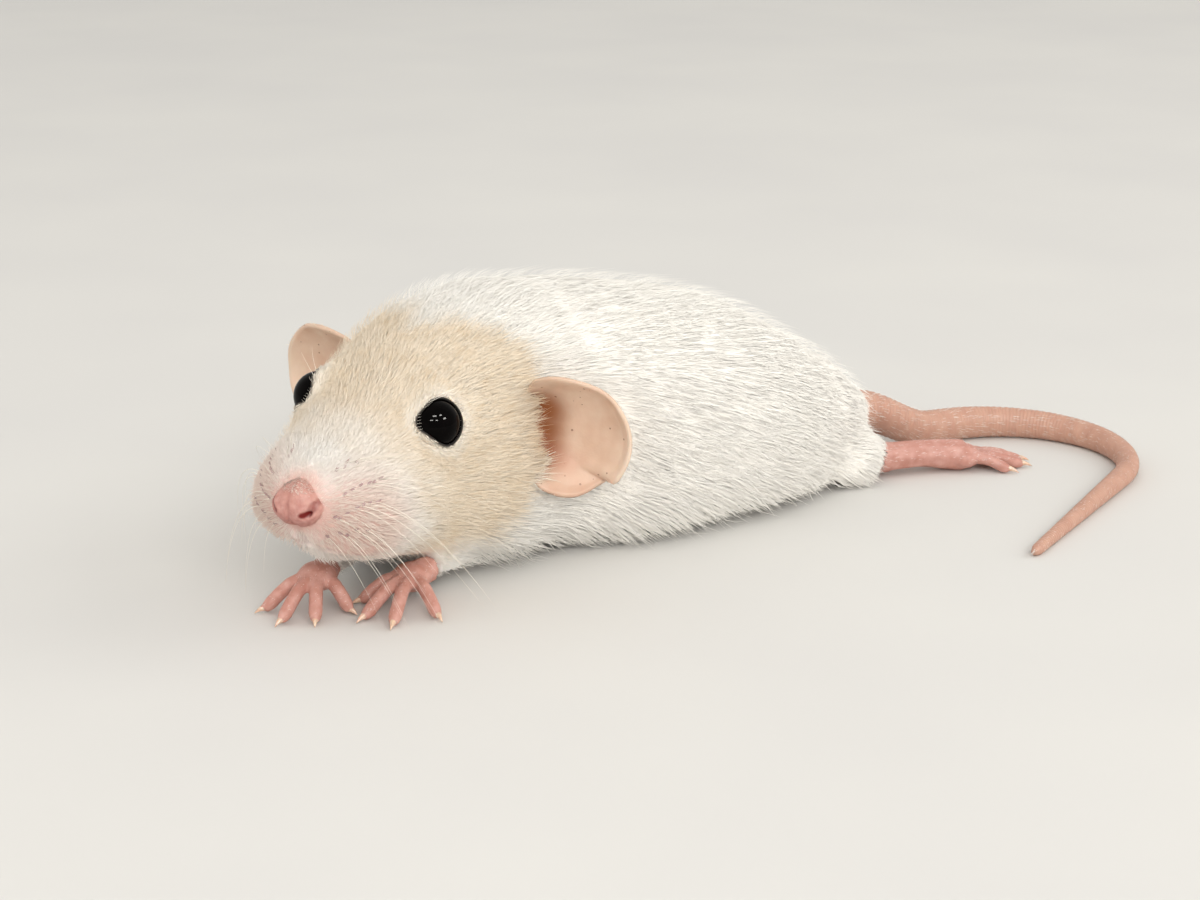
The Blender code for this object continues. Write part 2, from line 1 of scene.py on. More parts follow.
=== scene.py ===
# %% [markdown]
# # A young pet rat, modelled as a life-size museum piece
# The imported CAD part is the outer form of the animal, out to the tips of its coat. This lesson
# dresses that form: one skin that lies a little inside it, eyes, claws, whiskers and some hundred
# thousand small solid tufts of fur that follow the lie of a real rat's coat.

import math

import bmesh
import bpy
import numpy as np
from mathutils import Matrix, Vector


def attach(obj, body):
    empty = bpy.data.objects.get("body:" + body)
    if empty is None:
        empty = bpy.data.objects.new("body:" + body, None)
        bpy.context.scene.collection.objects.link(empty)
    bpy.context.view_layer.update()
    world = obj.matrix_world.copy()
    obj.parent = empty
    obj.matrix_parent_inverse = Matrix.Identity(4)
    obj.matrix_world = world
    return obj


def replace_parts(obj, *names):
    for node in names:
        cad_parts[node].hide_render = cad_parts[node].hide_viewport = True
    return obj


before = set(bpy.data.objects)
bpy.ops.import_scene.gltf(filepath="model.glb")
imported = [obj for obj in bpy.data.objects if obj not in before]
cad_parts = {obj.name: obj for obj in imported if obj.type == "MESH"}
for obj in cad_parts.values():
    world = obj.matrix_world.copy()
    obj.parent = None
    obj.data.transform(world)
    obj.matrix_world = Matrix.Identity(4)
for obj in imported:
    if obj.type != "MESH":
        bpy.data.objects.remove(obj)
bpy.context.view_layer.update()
MM = 0.001  # the pieces are modelled in millimetres and turned to metres when they are done
print("CAD nodes:", len(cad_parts))

# %% [markdown]
# ## The camera
# A portrait of a small animal is taken close up with a short telephoto lens. The camera is aimed by
# its direction from the subject, so its place is one line of trigonometry.

# %% Camera
AIM = Vector((-13.2, -12.3, 12.9)) * MM
AZIMUTH, ELEVATION, DISTANCE = math.radians(-30), math.radians(17.5), 0.36


def from_subject(azimuth, elevation):
    """The unit vector that points from the animal towards an azimuth and an elevation."""
    level = math.cos(elevation)
    return Vector((math.sin(azimuth) * level, -math.cos(azimuth) * level, math.sin(elevation)))


lens = bpy.data.cameras.new("camera")
lens.sensor_fit = "HORIZONTAL"
lens.angle = math.radians(26.4)
lens.clip_start = 0.01
camera = bpy.data.objects.new("camera", lens)
camera.location = AIM + from_subject(AZIMUTH, ELEVATION) * DISTANCE
camera.rotation_euler = from_subject(AZIMUTH, ELEVATION).to_track_quat("Z", "Y").to_euler()
bpy.context.scene.collection.objects.link(camera)
bpy.context.scene.camera = camera

# %% [markdown]
# ## Soft studio light
# White fur needs light from everywhere, or its shaded side turns grey. Large soft panels and a pale
# world share that work. A wet eye shows the lamps themselves, so five small panels are there only for
# its reflections, and the large ones are kept out of them. The Standard view shows colours as they
# are given, which suits pale fur on a pale floor.

# %% World and lamps
world = bpy.data.worlds.new("pale studio")
bpy.context.scene.world = world
world.use_nodes = True
sky = world.node_tree.nodes["Background"]
SKY_TINT, SKY_STRENGTH, LAMP_TINT = (1.0, 0.98, 0.94, 1), 0.72, (1.0, 0.97, 0.92)
sky.inputs["Color"].default_value = SKY_TINT
sky.inputs["Strength"].default_value = SKY_STRENGTH
bpy.context.scene.view_settings.view_transform = "Standard"


def add_panel(name, azimuth, elevation, distance, width, height, watts, catchlight=False):
    """A rectangular lamp that faces the animal: a catchlight shows in its eyes, the others light it."""
    lamp = bpy.data.lights.new(name, "AREA")
    lamp.shape = "RECTANGLE"
    lamp.size, lamp.size_y = width, height
    lamp.energy = watts
    lamp.color = LAMP_TINT
    panel = bpy.data.objects.new(name, lamp)
    panel.visible_glossy, panel.visible_diffuse = catchlight, not catchlight
    way = from_subject(math.radians(azimuth), math.radians(elevation))
    panel.location = AIM + way * distance
    panel.rotation_euler = way.to_track_quat("Z", "Y").to_euler()
    bpy.context.scene.collection.objects.link(panel)


CATCHLIGHTS = (  # turn, rise, width and height: two above and three below, as in a window with bars
    (-27, 51, 0.22, 0.07), (12, 51, 0.14, 0.08),
    (-39, 32, 0.16, 0.05), (-17, 32, 0.12, 0.05), (25, 33, 0.19, 0.09),
)
CATCHLIGHT_FAR, CATCHLIGHT_POWER = 0.9, 420  # metres, and watts for a square metre
for k, (turn, rise, wide, high) in enumerate(CATCHLIGHTS):
    watts = CATCHLIGHT_POWER * wide * high
    add_panel(f"catchlight_{k}", turn, rise, CATCHLIGHT_FAR, wide, high, watts, catchlight=True)
add_panel("front_softbox", -14, 30, 1.0, 0.6, 0.35, 4.2)
add_panel("top_softbox", -60, 66, 1.0, 0.9, 0.7, 1.5)
add_panel("right_softbox", 70, 26, 1.1, 0.8, 0.8, 3.6)
add_panel("left_softbox", -110, 25, 1.1, 0.8, 0.8, 1.4)

# %% [markdown]
# ## Where things are on an animal
# A place on the body is easiest to say as an anatomist would: how far behind the nose tip, how far
# to the animal's left, and how high. The back line turns as the head looks round, and these few
# functions go both ways between such places and the scene.

# %% The back line and its two-way map
HEAD_YAW, HEAD_ROLL, ROLL_HEIGHT = math.radians(33.0), math.radians(4.5), 18.0
BENT_FROM, STRAIGHT_FROM = 36.0, 64.0  # the neck's bend, as places behind the nose tip
ORIGIN_AT, TORSO_END, LINE_END = 74, 112.5, 152
AT_ONCE = 20000  # points compared with the back line in one go


def yaw_at(s):
    """The turn of the back line s millimetres behind the nose tip."""
    t = np.clip((np.asarray(s, float) - BENT_FROM) / (STRAIGHT_FROM - BENT_FROM), 0, 1)
    return HEAD_YAW * (1 - t * t * (3 - 2 * t))


marks = np.arange(LINE_END + 1)
turns = yaw_at(marks[:-1] + 0.5)
line = np.zeros((len(marks), 2))
line[1:, 0], line[1:, 1] = np.cumsum(np.cos(turns)), np.cumsum(np.sin(turns))
line -= line[ORIGIN_AT]


def axes_at(s):
    """The unit vectors to the back, to the left and up, as they run at s, one row for each place."""
    yaw = yaw_at(s)
    roll = HEAD_ROLL * yaw / HEAD_YAW
    c, n, zero = np.cos(roll), np.sin(roll), np.zeros_like(yaw)
    back = np.stack([np.cos(yaw), np.sin(yaw), zero], -1)
    left = np.stack([np.sin(yaw) * c, -np.cos(yaw) * c, -n], -1)
    up = np.stack([np.sin(yaw) * n, -np.cos(yaw) * n, c], -1)
    return back, left, up


def place(s, left, height):
    """Points in millimetres for places on the animal."""
    s = np.asarray(s, float)
    spot = np.stack([np.interp(s, marks, line[:, 0]), np.interp(s, marks, line[:, 1])], -1)
    _, sideways, up = axes_at(s)
    low = np.concatenate([spot, np.full(spot.shape[:-1] + (1,), ROLL_HEIGHT)], -1)
    return low + sideways * np.asarray(left)[..., None] + up * (np.asarray(height) - ROLL_HEIGHT)[..., None]


def along_body(points):
    """The other way: how far behind the nose, how far left and how high each point is."""
    s = np.empty(len(points))
    for first in range(0, len(points), AT_ONCE):
        some = points[first : first + AT_ONCE, :2]
        far = ((some[:, None] - line[None]) ** 2).sum(-1)
        nearest = far.argmin(1)
        turn = yaw_at(nearest)
        step = some - line[nearest]
        s[first : first + AT_ONCE] = nearest + step[:, 0] * np.cos(turn) + step[:, 1] * np.sin(turn)
    _, left, up = axes_at(s)
    foot = place(s, np.zeros_like(s), np.full_like(s, ROLL_HEIGHT))
    return s, ((points - foot) * left).sum(-1), ((points - foot) * up).sum(-1) + ROLL_HEIGHT


def spot(s, left, height):
    """One place as a vector."""
    return Vector(place(s, left, height))


def way(s, back, left, up):
    """One direction as a unit vector, given along the body."""
    b, l, u = axes_at(s)
    return Vector(b * back + l * left + u * up).normalized()


def smooth(low, high, value):
    """Rises gently from 0 at low to 1 at high."""
    t = np.clip((value - low) / (high - low), 0, 1)
    return t * t * (3 - 2 * t)


print("nose tip at", [round(x, 1) for x in spot(0, 0, 18)], "mm")

# %% [markdown]
# ## Small helpers for meshes
# Every piece starts in a bmesh, is shaped by operators, and becomes an object. Voxel remesh, Smooth
# and Boolean are modifiers, so a helper runs one and keeps its result. Moving thousands of points at
# once is quickest on plain arrays.

# %% Mesh helpers


def piece_from(name, bm):
    """The bmesh as an object in the scene."""
    mesh = bpy.data.meshes.new(name)
    bm.to_mesh(mesh)
    bm.free()
    piece = bpy.data.objects.new(name, mesh)
    bpy.context.scene.collection.objects.link(piece)
    return piece


def settle(piece, kind, **settings):
    """Runs one modifier on a piece and keeps what it makes."""
    modifier = piece.modifiers.new(kind.title(), kind)
    for key, value in settings.items():
        setattr(modifier, key, value)
    graph = bpy.context.evaluated_depsgraph_get()
    made = bpy.data.meshes.new_from_object(piece.evaluated_get(graph))
    piece.modifiers.clear()
    piece.data = made
    return piece


def points_of(piece):
    """The places of a piece's points, one row each."""
    co = np.empty(len(piece.data.vertices) * 3, np.float32)
    piece.data.vertices.foreach_get("co", co)
    return co.reshape(-1, 3).astype(float)


def move_points(piece, points):
    """Puts a piece's points in new places."""
    piece.data.vertices.foreach_set("co", np.asarray(points, np.float32).ravel())
    piece.data.update()


def normals_of(piece):
    """The way that the surface faces at each of a piece's points."""
    normals = np.empty(len(piece.data.vertices) * 3, np.float32)
    piece.data.vertex_normals.foreach_get("vector", normals)
    return normals.reshape(-1, 3).astype(float)


def edges_of(piece):
    """The two points of each edge, one row each."""
    ends = np.empty(len(piece.data.edges) * 2, np.int32)
    piece.data.edges.foreach_get("vertices", ends)
    return ends.reshape(-1, 2)


def relaxed(values, edges, weight, rounds):
    """Pulls each point's values towards the mean of its neighbours', as a smoothing brush does."""
    count = np.bincount(edges.ravel(), minlength=len(values)).clip(1)[:, None]
    weight = np.broadcast_to(weight, len(values))[:, None]
    for _ in range(rounds):
        total = np.zeros_like(values)
        for axis in range(values.shape[1]):
            for a, b in ((0, 1), (1, 0)):
                total[:, axis] += np.bincount(edges[:, a], values[edges[:, b], axis], len(values))
        values = values + (total / count - values) * weight
    return values


def unit(vectors):
    """Each row at length one."""
    return vectors / np.linalg.norm(vectors, axis=-1, keepdims=True).clip(1e-9)


def merged_copy(name, nodes, grow):
    """A copy of some CAD nodes with their loose triangles merged and their faces moved out a little."""
    bm = bmesh.new()
    for node in nodes:
        bm.from_mesh(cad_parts[node].data)
    bmesh.ops.remove_doubles(bm, verts=bm.verts[:], dist=2e-6)
    bm.transform(Matrix.Scale(1 / MM, 4))
    bm.normal_update()
    for vert in bm.verts:
        vert.co += vert.normal * grow
    return piece_from(name, bm)


def tube(name, knots, radii, sides=12):
    """A closed tube through a row of points: a ring of points on each, bridged and capped."""
    bm = bmesh.new()
    rings = []
    for k, (knot, radius) in enumerate(zip(knots, radii)):
        ahead = (knots[min(k + 1, len(knots) - 1)] - knots[max(k - 1, 0)]).normalized()
        turn = ahead.to_track_quat("Z", "Y").to_matrix().to_4x4()
        made = bmesh.ops.create_circle(
            bm, segments=sides, radius=radius, matrix=Matrix.Translation(knot) @ turn
        )
        rings.append(made["verts"])
    edges = [e for ring in rings for v in ring for e in v.link_edges]
    bmesh.ops.bridge_loops(bm, edges=list(set(edges)))
    bmesh.ops.holes_fill(bm, edges=bm.edges[:], sides=sides)
    bmesh.ops.recalc_face_normals(bm, faces=bm.faces[:])
    return piece_from(name, bm)


# %% [markdown]
# ## The core of the skin
# The haired parts of the body are joined and voxel remeshed, which welds them into one even surface.
# That surface is the tips of the coat, so it is then moved inwards by the depth of the coat, which is
# thin on the face and thick on the back, and relaxed where a real body is smooth.

# %% Skin core
SIDES = (("left", 1), ("right", -1))  # each side's name, and the sign of a distance to the left
EYE_AT, EYE_RADIUS = (19.4, 8.9, 25.6), 3.35
NOSE_AT = (1.7, 0.0, 18.0)
HAIRED = ["head", "neck", "torso"] + [
    limb + side for limb in ("foreleg_", "hindleg_") for side in ("left", "right")
]
EYES = {side: spot(EYE_AT[0], sign * EYE_AT[1], EYE_AT[2]) for side, sign in SIDES}


def distance_to(points, spots):
    """How far each point is from the nearest of some places."""
    return np.min([np.linalg.norm(points - np.array(place), axis=1) for place in spots], axis=0)


WRISTS = [spot(22.6, 6.4, 3.8), spot(15.8, -5.2, 4.0)]
ANKLES = [spot(111.0, 9.4, 3.0), spot(111.0, -9.4, 3.0)]
CHIN = [spot(7.5, 0, 8.6)]


DEPTH_PLACES, DEPTHS = [3, 9, 16, 34, 52, 100, 112], [0.35, 0.5, 0.75, 0.95, 2.0, 2.1, 0.6]
DEPTH_AT_EYE, DEPTH_ON_LIMB, BEHIND_NOSE_PAD = 0.22, 0.3, 0.55
GROWN = 0.25  # the copies are grown by this to weld across the small gaps between the nodes
CORE_VOXEL, PAW_VOXEL = 0.6, 0.28


def coat_depth(points, s):
    """How deep the coat is at each point, from its tips to the skin."""
    depth = np.interp(s, DEPTH_PLACES, DEPTHS)
    bare = 1 - smooth(EYE_RADIUS + 0.6, EYE_RADIUS + 3.6, distance_to(points, EYES.values()))
    depth += (DEPTH_AT_EYE - depth) * bare
    limb = 1 - smooth(4, 11, distance_to(points, WRISTS + ANKLES))
    depth += (DEPTH_ON_LIMB - depth) * limb
    return depth + BEHIND_NOSE_PAD * (1 - smooth(2.2, 4.0, distance_to(points, [spot(*NOSE_AT)])))


skin = merged_copy("skin", HAIRED, GROWN)
settle(skin, "REMESH", mode="VOXEL", voxel_size=CORE_VOXEL)
points, normals, edges = points_of(skin), normals_of(skin), edges_of(skin)
s, left, height = along_body(points)
calm = 0.12 + 0.45 * smooth(36, 54, s) + 0.3 * (1 - smooth(5, 14, distance_to(points, WRISTS + CHIN)))
near_eye = 1 - smooth(EYE_RADIUS + 0.4, EYE_RADIUS + 2.5, distance_to(points, EYES.values()))
points = points - relaxed(normals, edges, 0.5, 6) * (coat_depth(points, s) + GROWN)[:, None]
points = relaxed(points, edges, calm * (1 - 0.7 * near_eye), 14)
points[:, 2] = points[:, 2].clip(GROWN)  # the belly stays just above the floor
move_points(skin, points)
print("skin core:", len(skin.data.vertices), "points")

# %% [markdown]
# ## Ears
# A dumbo rat's ear is a wide round leaf of skin, cupped towards the front, with a deep hollow where
# it meets the head and a small lobe folded over at its lower edge. Half a sphere has the right grid
# for it: each point's place between pole and rim says where it lies on the leaf, and a short formula
# says how far the leaf stands forward there. Solidify gives it its thickness.

# %% Ears
EAR_LENGTH, EAR_HEIGHT, EAR_THICKNESS = 16.1, 16.0, 0.5
EAR_AT, EAR_SWEEP, EAR_DROOP = (35.8, 12.2, 22.8), math.radians(18.0), math.radians(14.0)
LOBE_FROM, LOBE_BEHIND, CREASE_RISE = -0.54, 1.3, 0.35  # where the lobe starts, and its fold


def ear_forward(out, high):
    """How far the leaf stands forward, at out from root to edge and at high from -1 to 1."""
    rim = min(1.0, math.hypot((out - 0.5) * 2, high))
    # The cup is deepest by the root, and the corners above and below the root come forward.
    cup = -3.2 * (1 - rim**2) - 2.4 * math.exp(-(((out - 0.12) / 0.2) ** 2)) * (1 - high * high)
    cup += 3.4 * max(0.0, 1 - out / 0.7) ** 1.5 * min(1.0, high * high)
    # The lobe is folded over below a crease, and only away from the root.
    crease, folded = high - LOBE_FROM, smooth(0.52, 0.88, out)
    lobe = CREASE_RISE * math.exp(-(((crease - 0.1) / 0.09) ** 2))
    lobe -= LOBE_BEHIND * (1 - smooth(-0.05, 0.03, crease))
    lobe *= folded
    lobe += 1.6 * max(0.0, -high - 0.5) * max(0.0, 1 - abs(out - 0.5) * 2.0)
    # The thin edge is never quite even, and it curls forward a little.
    ripple = 0.12 * math.sin(7 * high + 3 * out) * rim + 0.1 * math.sin(11 * out - 4 * high) * rim
    curl = 0.5 * max(0.0, rim - 0.88) / 0.12
    return cup + lobe + ripple + curl * smooth(0.2, 0.6, out)


EAR_FACING = {}


def make_ear(name, side):
    """One ear: half a sphere flattened to a leaf, set on its root and given its thickness."""
    bm = bmesh.new()
    bmesh.ops.create_uvsphere(bm, u_segments=84, v_segments=52, radius=1.0)
    below = [vert for vert in bm.verts if vert.co.z < -1e-4]
    bmesh.ops.delete(bm, geom=below, context="VERTS")
    s = EAR_AT[0]
    flat = way(s, math.sin(EAR_SWEEP), side * math.cos(EAR_SWEEP), 0)
    out = (flat * math.cos(EAR_DROOP) - Vector((0, 0, 1)) * math.sin(EAR_DROOP)).normalized()
    up = (Vector((0, 0, 1)) * math.cos(EAR_DROOP) + flat * math.sin(EAR_DROOP)).normalized()
    forward = EAR_FACING[side] = out.cross(up) * side
    root = spot(s, side * EAR_AT[1], EAR_AT[2])
    for vert in bm.verts:
        rim = math.acos(min(1.0, vert.co.z)) / (math.pi / 2)
        angle = math.atan2(vert.co.y, vert.co.x)
        across, high = rim * math.cos(angle), rim * math.sin(angle)
        if across < 0:  # the root is broader than a circle's side, and runs on into the head
            across *= 1.12
            high *= 1 - 0.12 * across
            high = max(-1.0, min(1.0, high))
        below = smooth(0.54, 0.62, -angle) * (1 - smooth(0.8, 1.3, -angle))
        drawn_in = (0.07 * below - 0.02 * math.exp(-(((angle + 0.5) / 0.12) ** 2))) * smooth(0.5, 1.0, rim)
        across, high = across * (1 - drawn_in), high * (1 - drawn_in)
        share = 0.5 + 0.5 * across
        lift = ear_forward(max(0.0, share), high)
        vert.co = root + out * EAR_LENGTH * share + up * EAR_HEIGHT / 2 * high + forward * lift
    bmesh.ops.recalc_face_normals(bm, faces=bm.faces[:])
    ear = piece_from(name, bm)
    return settle(ear, "SOLIDIFY", thickness=EAR_THICKNESS, offset=0.0, use_even_offset=True)


ears = [make_ear("ear_left_skin", 1), make_ear("ear_right_skin", -1)]

# %% [markdown]
# ## Bare paws, feet and tail
# The CAD paws already have their toes, so a copy is remeshed finely and relaxed, which turns joined
# tubes into soft flesh. The tail is a tube too, with a shallow step for each ring of scales.

# %% Paws and feet
BARE = ["forepaw_left", "forepaw_right", "hindfoot_left", "hindfoot_right"]


def soft_copy(node):
    """A finer copy of a CAD paw with its creases relaxed."""
    flesh = merged_copy(node + "_skin", [node], 0.0)
    settle(flesh, "REMESH", mode="VOXEL", voxel_size=PAW_VOXEL)
    return settle(flesh, "SMOOTH", factor=0.5, iterations=4)


paws = [soft_copy(node) for node in BARE]

# %% Tail
TAIL_LENGTH, TAIL_STRAIGHT, TAIL_DROP, TAIL_ROOT_HEIGHT = 100.0, 19.0, 15.0, 7.8
TAIL_BEND_RADIUS, TAIL_BEND = 17.0, math.radians(150.0)
TAIL_RING = 0.95  # from one ring of scales to the next; a young rat's are finer, and wouldn't show


def tail_radius(t):
    """The tail's radius t millimetres behind its root: thick at first, and quickly finer."""
    return 3.3 - 2.45 * (t / TAIL_LENGTH) ** 0.85


def tail_point(t):
    """The tail's middle line, t millimetres behind its root."""
    turned = min(max(t - TAIL_STRAIGHT, 0), TAIL_BEND_RADIUS * TAIL_BEND) / TAIL_BEND_RADIUS
    after = max(0, t - TAIL_STRAIGHT - TAIL_BEND_RADIUS * TAIL_BEND)
    back = min(t, TAIL_STRAIGHT) + TAIL_BEND_RADIUS * math.sin(turned) + after * math.cos(turned)
    left = TAIL_BEND_RADIUS * (1 - math.cos(turned)) + after * math.sin(turned)
    on_floor = tail_radius(max(t, 0)) - 0.1
    height = TAIL_ROOT_HEIGHT + (on_floor - TAIL_ROOT_HEIGHT) * smooth(0, 1, t / TAIL_DROP)
    return Vector((TORSO_END + 0.3 + back - ORIGIN_AT, -left, height)) + TAIL_SHIFT


TAIL_SHIFT = spot(TORSO_END, 0, 0) - Vector((TORSO_END - ORIGIN_AT, 0, 0))
TAIL_SHIFT.z = 0
knots, radii = [], []
for k in range(-3, int((TAIL_LENGTH - 0.6) / TAIL_RING * 2)):
    t = k * TAIL_RING / 2
    knots.append(tail_point(t))
    radii.append(tail_radius(max(t, 0)) * (0.985 if k % 2 else 0.95))
knots.append(tail_point(TAIL_LENGTH))
radii.append(0.45)
tail = tube("tail_skin", knots, radii, 20)
print("tail:", len(knots), "rings of points, tip at", [round(x, 1) for x in knots[-1]])

# %% [markdown]
# ## Nose pad
# The bare tip of the nose is a small pink cushion with a cleft down its middle and a comma-shaped
# nostril on each side. It starts as a fine ball: every point near the line of a nostril or of the
# cleft is pressed in, and the rim of the nostril swells a little.

# %% Nose pad


def near_line(point, knots):
    """How far a point is from a bent line."""
    best = 1e9
    for a, b in zip(knots, knots[1:]):
        step = b - a
        t = max(0.0, min(1.0, (point - a).dot(step) / step.length_squared))
        best = min(best, (point - a - step * t).length)
    return best


NOSTRIL_LINE = ((-0.55, 2.0, 17.45), (-0.33, 2.4, 17.6), (0.2, 2.9, 18.1), (0.6, 3.0, 18.8))
NOSTRILS = [[spot(s, side * left, height) for s, left, height in NOSTRIL_LINE] for side in (1, -1)]
CLEFT = [spot(-1.1, 0, 17.0), spot(-0.4, 0, 15.4), spot(1.4, 0, 13.4), spot(3.2, 0, 11.9)]
NOSE_DEEP, NOSE_WIDE, NOSE_HIGH = 2.8, 3.55, 3.1  # half the pad's size each way
GROOVE_PRESS, HOLE_PRESS, WING_SWELL, CLEFT_PRESS = 0.3, 1.3, 0.22, 0.22
bm = bmesh.new()
bmesh.ops.create_icosphere(bm, subdivisions=6, radius=1.0)
turn = Matrix.Rotation(float(yaw_at(0)), 4, "Z")
stretch = Matrix.Diagonal((NOSE_DEEP, NOSE_WIDE, NOSE_HIGH, 1))
bm.transform(Matrix.Translation(spot(*NOSE_AT)) @ turn @ stretch)
inward, across = way(0, 1.0, 0, 0.1), way(0, 0, 1, 0)
for vert in bm.verts:
    rise = (vert.co.z - NOSE_AT[2]) / NOSE_HIGH
    middle = (vert.co - spot(*NOSE_AT)).dot(across)
    vert.co -= across * middle * 0.34 * max(0.0, rise) ** 1.2  # narrower above
    pit = min(near_line(vert.co, nostril) for nostril in NOSTRILS)
    hole = min(near_line(vert.co, nostril[:2]) for nostril in NOSTRILS)
    front = smooth(0.6, 1.0, (spot(*NOSE_AT) - vert.co).dot(inward) / NOSE_DEEP + 0.5)
    press = GROOVE_PRESS * math.exp(-((pit / 0.28) ** 2)) + HOLE_PRESS * math.exp(-((hole / 0.34) ** 2))
    press -= WING_SWELL * math.exp(-(((pit - 0.85) / 0.4) ** 2))
    press += CLEFT_PRESS * math.exp(-((middle / 0.3) ** 2)) * front * (1 - smooth(0.0, 0.6, rise))
    vert.co += inward * press
nose = piece_from("nose_skin", bm)

# %% [markdown]
# ## Eyelids
# A rat's eye bulges, and its lids wrap it like a thin shell that leaves a teardrop open, drawn to a
# point towards the nose. The opening is given as angles on the ball, so one short table serves both
# eyes: at each turn round the line of gaze, how far from that line the lids' edge lies.

# %% Eyelids
EYE_GAZE = (-0.38, 0.80, 0.46)
LID_TURN = (5, 20, 37, 51, 68, 88, 105, 122, 140, 157, 180, 210, 240, 265, 281, 297, 317, 343)
LID_EDGE = (58, 67, 77, 68, 59.5, 56, 57.5, 58, 60, 58, 56, 55, 55, 58, 65, 64, 58, 54)
LID_THICKNESS = 0.34
LID_ROOT, LID_STEPS = 102, 80  # how far the shell runs back from the line of gaze, and its steps round
LID_OUTER, LID_INNER = 6, 3  # steps of the section on the outer and on the inner side
LID_MARGIN, LID_CLEARANCE = 2.6, 0.04  # degrees that the rounded margin stands in, and the gap to the ball


def eye_axes(side):
    """The line of gaze, the way to the nose across it, and the way up across both."""
    gaze = way(EYE_AT[0], EYE_GAZE[0], side * EYE_GAZE[1], EYE_GAZE[2])
    nose_way = way(EYE_AT[0], -1, 0, -0.35)
    forward = (nose_way - gaze * nose_way.dot(gaze)).normalized()
    upward = gaze.cross(forward)
    return gaze, forward, upward if upward.z > 0 else -upward


def lid_edge(turn):
    """How far from the line of gaze the lids' edge is, both in degrees."""
    return np.interp(turn, LID_TURN, LID_EDGE, period=360)


def lid_gap(points):
    """How far each point is outside the nearer eye's lid edge; below 0 is within the opening."""
    gap = np.full(len(points), 1e9)
    for side, sign in SIDES:
        gaze, forward, upward = (np.array(axis) for axis in eye_axes(sign))
        out = points - np.array(EYES[side])
        far = np.linalg.norm(out, axis=1)
        out /= far[:, None]
        turn = np.degrees(np.arctan2(out @ upward, out @ forward)) % 360
        beyond = np.radians(np.degrees(np.arccos((out @ gaze).clip(-1, 1))) - lid_edge(turn)) * EYE_RADIUS
        clear = (far - EYE_RADIUS - LID_THICKNESS).clip(0)
        gap = np.minimum(gap, np.where(beyond > 0, np.hypot(beyond, clear), beyond + clear))
    return gap


def make_lids(name, side, centre):
    """The lids of one eye: a thin shell over the ball from the edge of the opening into the head."""
    gaze, forward, upward = eye_axes(side)
    bm = bmesh.new()
    rings = []
    for k in range(LID_STEPS):
        turn = 360 / LID_STEPS * k
        edge = float(lid_edge(np.array([turn - 5, turn, turn + 5])).mean())
        behind = LID_ROOT - edge
        outer, inner = EYE_RADIUS + LID_THICKNESS, EYE_RADIUS + LID_CLEARANCE
        section = [(edge + behind * j / LID_OUTER, outer) for j in range(LID_OUTER + 1)]
        section += [(edge + behind * j / LID_INNER, inner) for j in range(LID_INNER, -1, -1)]
        section.append((edge - LID_MARGIN, EYE_RADIUS + LID_THICKNESS / 2))
        a = math.radians(turn)
        across = forward * math.cos(a) + upward * math.sin(a)
        ring = []
        for angle, far in section:
            angle = math.radians(angle)
            ring.append(bm.verts.new(centre + (gaze * math.cos(angle) + across * math.sin(angle)) * far))
        rings.append(ring)
    for ring, following in zip(rings, rings[1:] + rings[:1]):
        for k in range(len(ring)):
            bm.faces.new((ring[k], following[k], following[k - 1], ring[k - 1]))
    bmesh.ops.recalc_face_normals(bm, faces=bm.faces[:])
    return piece_from(name, bm)


lids = [make_lids("lids_" + side, sign, EYES[side]) for side, sign in SIDES]
for extra in ears + paws + [tail, nose] + lids:
    print(extra.name, len(extra.data.vertices), "points")

# %% [markdown]
# ## One skin
# Boolean unions join the ears, paws, tail, nose and lids to the core, so no seam shows and nothing
# of one lies inside another. What each point came from is remembered by its place, and painted on the
# new mesh as attributes, which the material reads.

# %% Join the skin
REGIONS = {"ear": ears, "paw": paws[:2], "foot": paws[2:], "tail": [tail], "nose": [nose], "lid": lids}
source = {}
for part, made in REGIONS.items():
    for piece in made:
        source.update({tuple(key): part for key in np.round(points_of(piece), 2).tolist()})
for made in REGIONS.values():
    for piece in made:
        settle(skin, "BOOLEAN", operation="UNION", object=piece, solver="MANIFOLD")
        print("joined", piece.name, "->", len(skin.data.vertices), "points")
        bpy.data.objects.remove(piece)

points, edges = points_of(skin), edges_of(skin)
from_region = [source.get(tuple(key), "") for key in np.round(points, 2).tolist()]
region = {name: np.array([r == name for r in from_region], float) for name in REGIONS}
seam = np.zeros(len(points))
for name in ("ear", "paw", "foot", "tail"):
    ends = region[name][edges]
    touching = edges[ends[:, 0] != ends[:, 1]].ravel()
    seam[touching] = 1
seam = relaxed(seam[:, None], edges, 0.8, 6)[:, 0].clip(0, 1)
points = relaxed(points, edges, (seam * 2.5).clip(0, 0.6), 10)
move_points(skin, points)


def line_share(knots, width):
    """1 on a bent line and 0 beyond its width."""
    nearest = np.full(len(points), 1e9)
    for a, b in zip(knots, knots[1:]):
        a, step = np.array(a), np.array(b - a)
        t = ((points - a) @ step / (step @ step)).clip(0, 1)
        nearest = np.minimum(nearest, np.linalg.norm(points - a - t[:, None] * step, axis=1))
    return 1 - smooth(width * 0.4, width, nearest)


MOUTH_LINE = ((3.2, 0, 11.8), (5.0, 3.6, 10.4), (9.4, 6.6, 9.4), (13.6, 8.6, 9.8))
MOUTH = [[spot(s, side * left, height) for s, left, height in MOUTH_LINE] for side in (1, -1)]
LIP_WIDTH, LIP_PRESS = 1.1, 0.45
lip_line = np.max([line_share(knots, LIP_WIDTH) for knots in MOUTH + [CLEFT[1:]]], axis=0)
points -= normals_of(skin) * (LIP_PRESS * lip_line)[:, None]
move_points(skin, points)
s, left, height = along_body(points)
normals = normals_of(skin)
triangles = sum(len(face.vertices) - 2 for face in skin.data.polygons)
print("skin:", len(points), "points,", triangles, "triangles")

